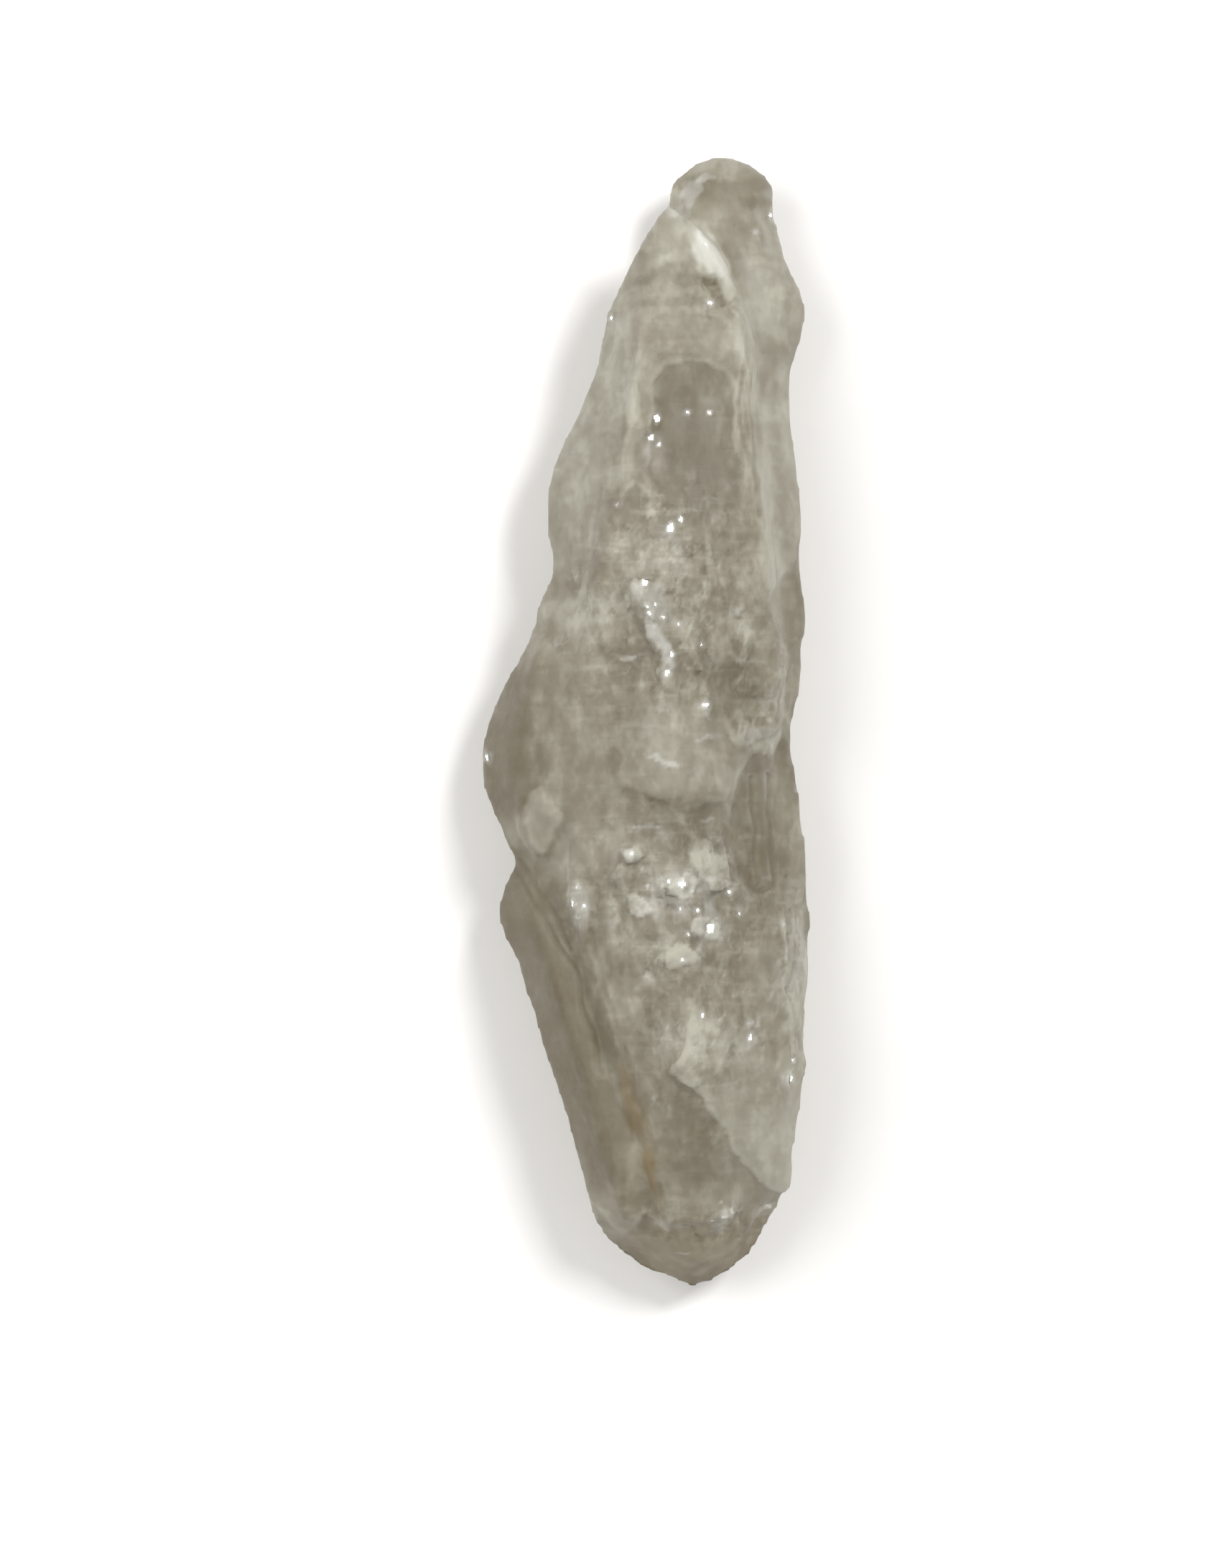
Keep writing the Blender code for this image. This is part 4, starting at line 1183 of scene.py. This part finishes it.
@dataclass
class CrystalSkin:
    """The crystal as it is seen: the solid's shape under a fine skin, carved and painted.

    Attributes:
        node: The solid that this skin stands for.
        coarse: Size of the skin's quads. They are halved where it faces up.
        faces_up: The upward part of a quad's normal from which it is halved.
        flank_passes, crumbled_passes: How often the skin is smoothed where it isn't chipped, and everywhere.
        glassy_passes: How often its glassy patches are smoothed once more.
        chipped_share: How much of the flanks' smoothing the chipped places are spared.
        flank_back, glassy_back: How far each pass steps back, so that the skin doesn't shrink.
        flat_gloss: The gloss from which a face is left flat.
        relief, complexion, finish: What is carved and painted, and the material.
    """

    node: str = "prasiolite_crystal"
    coarse: float = 0.345
    faces_up: float = 0.25
    flank_passes: int = 15
    crumbled_passes: int = 2
    glassy_passes: int = 40
    chipped_share: float = 0.8
    flank_back: float = 0.42
    glassy_back: float = 0.43
    flat_gloss: float = 0.5
    relief: Relief = field(default_factory=Relief)
    complexion: Complexion = field(default_factory=Complexion)
    finish: QuartzFinish = field(default_factory=QuartzFinish)

    def build(self) -> bpy.types.Object:
        """Makes, dresses and places the skin.

        Returns:
            The finished piece.
        """
        skin = self._copy()
        self._melt(skin)
        self._divide(skin)
        surface = Surface.of(skin.data)
        surface.wander()
        crumble, tones = self.relief.carve(surface)
        surface.write(skin.data)
        self._paint(skin, self.complexion.masks(surface, self.relief, crumble, tones))
        skin.data.materials.clear()
        skin.data.materials.append(self.finish.material())
        skin.data.shade_smooth()
        self._facet(skin)
        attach(skin, "root")
        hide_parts(self.node)
        return skin

    def _copy(self) -> bpy.types.Object:
        """Copies the solid.

        Returns:
            The copy, under an even skin of small quads.
        """
        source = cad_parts[self.node]
        made = bpy.data.objects.new("crystal_skin", source.data.copy())
        bpy.context.scene.collection.objects.link(made)
        remesh = made.modifiers.new("skin", "REMESH")
        remesh.mode = "VOXEL"
        remesh.voxel_size = self.coarse * MM
        graph = bpy.context.evaluated_depsgraph_get()
        even = bpy.data.meshes.new_from_object(made.evaluated_get(graph))
        made.modifiers.clear()
        made.data = even
        made.data.name = "crystal_skin"
        return made

    def _melt(self, skin: bpy.types.Object) -> None:
        """Smooths the facets of the solid away, mostly on the glassy flanks.

        Args:
            skin: The piece, which is changed.
        """
        surface = Surface.of(skin.data)
        surface.wander()
        surface.points = surface.relaxed(np.ones(len(surface.points)), self.crumbled_passes)
        flanks = 1.0 - self.chipped_share * self.relief.crumble(surface)
        surface.points = surface.relaxed(flanks, self.flank_passes, self.flank_back)
        glassy = sum(patch.value(surface) for patch in self.relief.glassy)
        surface.points = surface.relaxed(np.clip(glassy, 0.0, 1.0), self.glassy_passes, self.glassy_back)
        surface.points[:, 2] = np.maximum(surface.points[:, 2], 0.0)
        surface.write(skin.data)

    def _divide(self, skin: bpy.types.Object) -> None:
        """Halves the quads that face up.

        Args:
            skin: The piece, which is changed.
        """
        mesh = bmesh.new()
        mesh.from_mesh(skin.data)
        edges = {edge for face in mesh.faces if face.normal.z > self.faces_up for edge in face.edges}
        bmesh.ops.subdivide_edges(mesh, edges=list(edges), cuts=1, use_grid_fill=True)
        mesh.to_mesh(skin.data)
        mesh.free()

    def _paint(self, skin: bpy.types.Object, masks: dict) -> None:
        """Writes the masks on the skin.

        Args:
            skin: The piece, which is changed.
            masks: Values for each mask.
        """
        for mask, values in masks.items():
            attribute = skin.data.attributes.new(mask.value, "FLOAT", "POINT")
            attribute.data.foreach_set("value", np.clip(values, 0.0, 1.0).astype(np.float32))

    def _facet(self, skin: bpy.types.Object) -> None:
        """Leaves the bright facets flat, so that their edges are crisp.

        Args:
            skin: The piece, which is changed.
        """
        gloss = np.empty(len(skin.data.vertices), np.float32)
        skin.data.attributes[Mask.GLOSS.value].data.foreach_get("value", gloss)
        for face in skin.data.polygons:
            if gloss[list(face.vertices)].min() > self.flat_gloss:
                face.use_smooth = False


@dataclass(frozen=True)
class SoftLight:
    """A square light that points at the crystal.

    Attributes:
        name: Its name.
        place: Where it hangs, in metres.
        size: Length of its side, in metres.
        power: Its power in watts.
    """

    name: str
    place: tuple
    size: float
    power: float

    def build(self) -> None:
        """Hangs the light."""
        data = bpy.data.lights.new(self.name, "AREA")
        data.energy = self.power
        data.size = self.size
        light = bpy.data.objects.new(self.name, data)
        light.location = self.place
        light.rotation_euler = (-Vector(self.place)).to_track_quat("-Z", "Y").to_euler()
        bpy.context.scene.collection.objects.link(light)


@dataclass
class Studio:
    """The plain pale floor, the soft lights and the camera.

    Attributes:
        frame_height: What the picture's height covers at the crystal, in millimetres.
        middle: (x, y) of the picture's middle.
        crystal_level: Height of the middle of the crystal.
        lens, sensor: Focal length and width of the sensor.
        nearest: Distance at which the camera begins to see, in metres.
        gap: Space between the floor and the crystal.
        floor_size: Length of the floor's side, in metres.
        floor_colour, floor_roughness: The floor's finish.
        lights: A key from the upper right, which the bright facets return, and a larger fill from
            the left.
        sky_colour, sky_strength: The even light from all around.
    """

    frame_height: float = 99.5
    middle: tuple = (-2.7, -3.9)
    crystal_level: float = 5.0
    lens: float = 120.0
    sensor: float = 36.0
    nearest: float = 0.01
    gap: float = 0.03
    floor_size: float = 3.0
    floor_colour: tuple = (0.80, 0.79, 0.78, 1.0)
    floor_roughness: float = 0.9
    lights: tuple = (
        SoftLight("key", (0.22, 0.20, 0.42), 0.12, 1.8),
        SoftLight("fill", (-0.30, 0.10, 0.40), 0.30, 1.5),
    )
    sky_colour: tuple = (1.0, 0.99, 0.97, 1.0)
    sky_strength: float = 0.55

    def build(self) -> None:
        """Makes the whole studio."""
        self._floor()
        for light in self.lights:
            light.build()
        self._sky()
        self._camera()

    def _floor(self) -> None:
        """Lays a wide floor, a hair below the crystal, so that the two faces don't coincide."""
        bpy.ops.mesh.primitive_plane_add(size=self.floor_size, location=(0.0, 0.0, -self.gap * MM))
        floor = bpy.context.object
        floor.name = "floor"
        material = bpy.data.materials.new("pale_floor")
        material.use_nodes = True
        shader = material.node_tree.nodes["Principled BSDF"]
        shader.inputs["Base Color"].default_value = self.floor_colour
        shader.inputs["Roughness"].default_value = self.floor_roughness
        floor.data.materials.append(material)

    def _sky(self) -> None:
        """Lights the scene evenly from all around."""
        world = bpy.data.worlds.new("studio")
        bpy.context.scene.world = world
        world.use_nodes = True
        world.node_tree.nodes["Background"].inputs["Color"].default_value = self.sky_colour
        world.node_tree.nodes["Background"].inputs["Strength"].default_value = self.sky_strength

    def _camera(self) -> None:
        """Hangs the camera straight above, with the termination at the top of the picture."""
        data = bpy.data.cameras.new("camera")
        data.lens = self.lens
        data.sensor_width = self.sensor
        data.clip_start = self.nearest
        distance = self.frame_height / 2 * self.lens / (data.sensor_width / 2)
        camera = bpy.data.objects.new("camera", data)
        x, y = self.middle
        camera.location = (x * MM, y * MM, (self.crystal_level + distance) * MM)
        bpy.context.scene.collection.objects.link(camera)
        bpy.context.scene.camera = camera


def main() -> None:
    """Builds the crystal's skin and the studio."""
    logging.basicConfig(level=logging.INFO, format="%(name)s: %(message)s")
    skin = CrystalSkin().build()
    triangles = sum(len(face.vertices) - 2 for face in skin.data.polygons)
    LOG.info("%s: %d triangles", skin.name, triangles)
    Studio().build()
    LOG.info("studio ready")
    bpy.context.scene.view_settings.view_transform = "Standard"


if __name__ == "__main__":
    main()
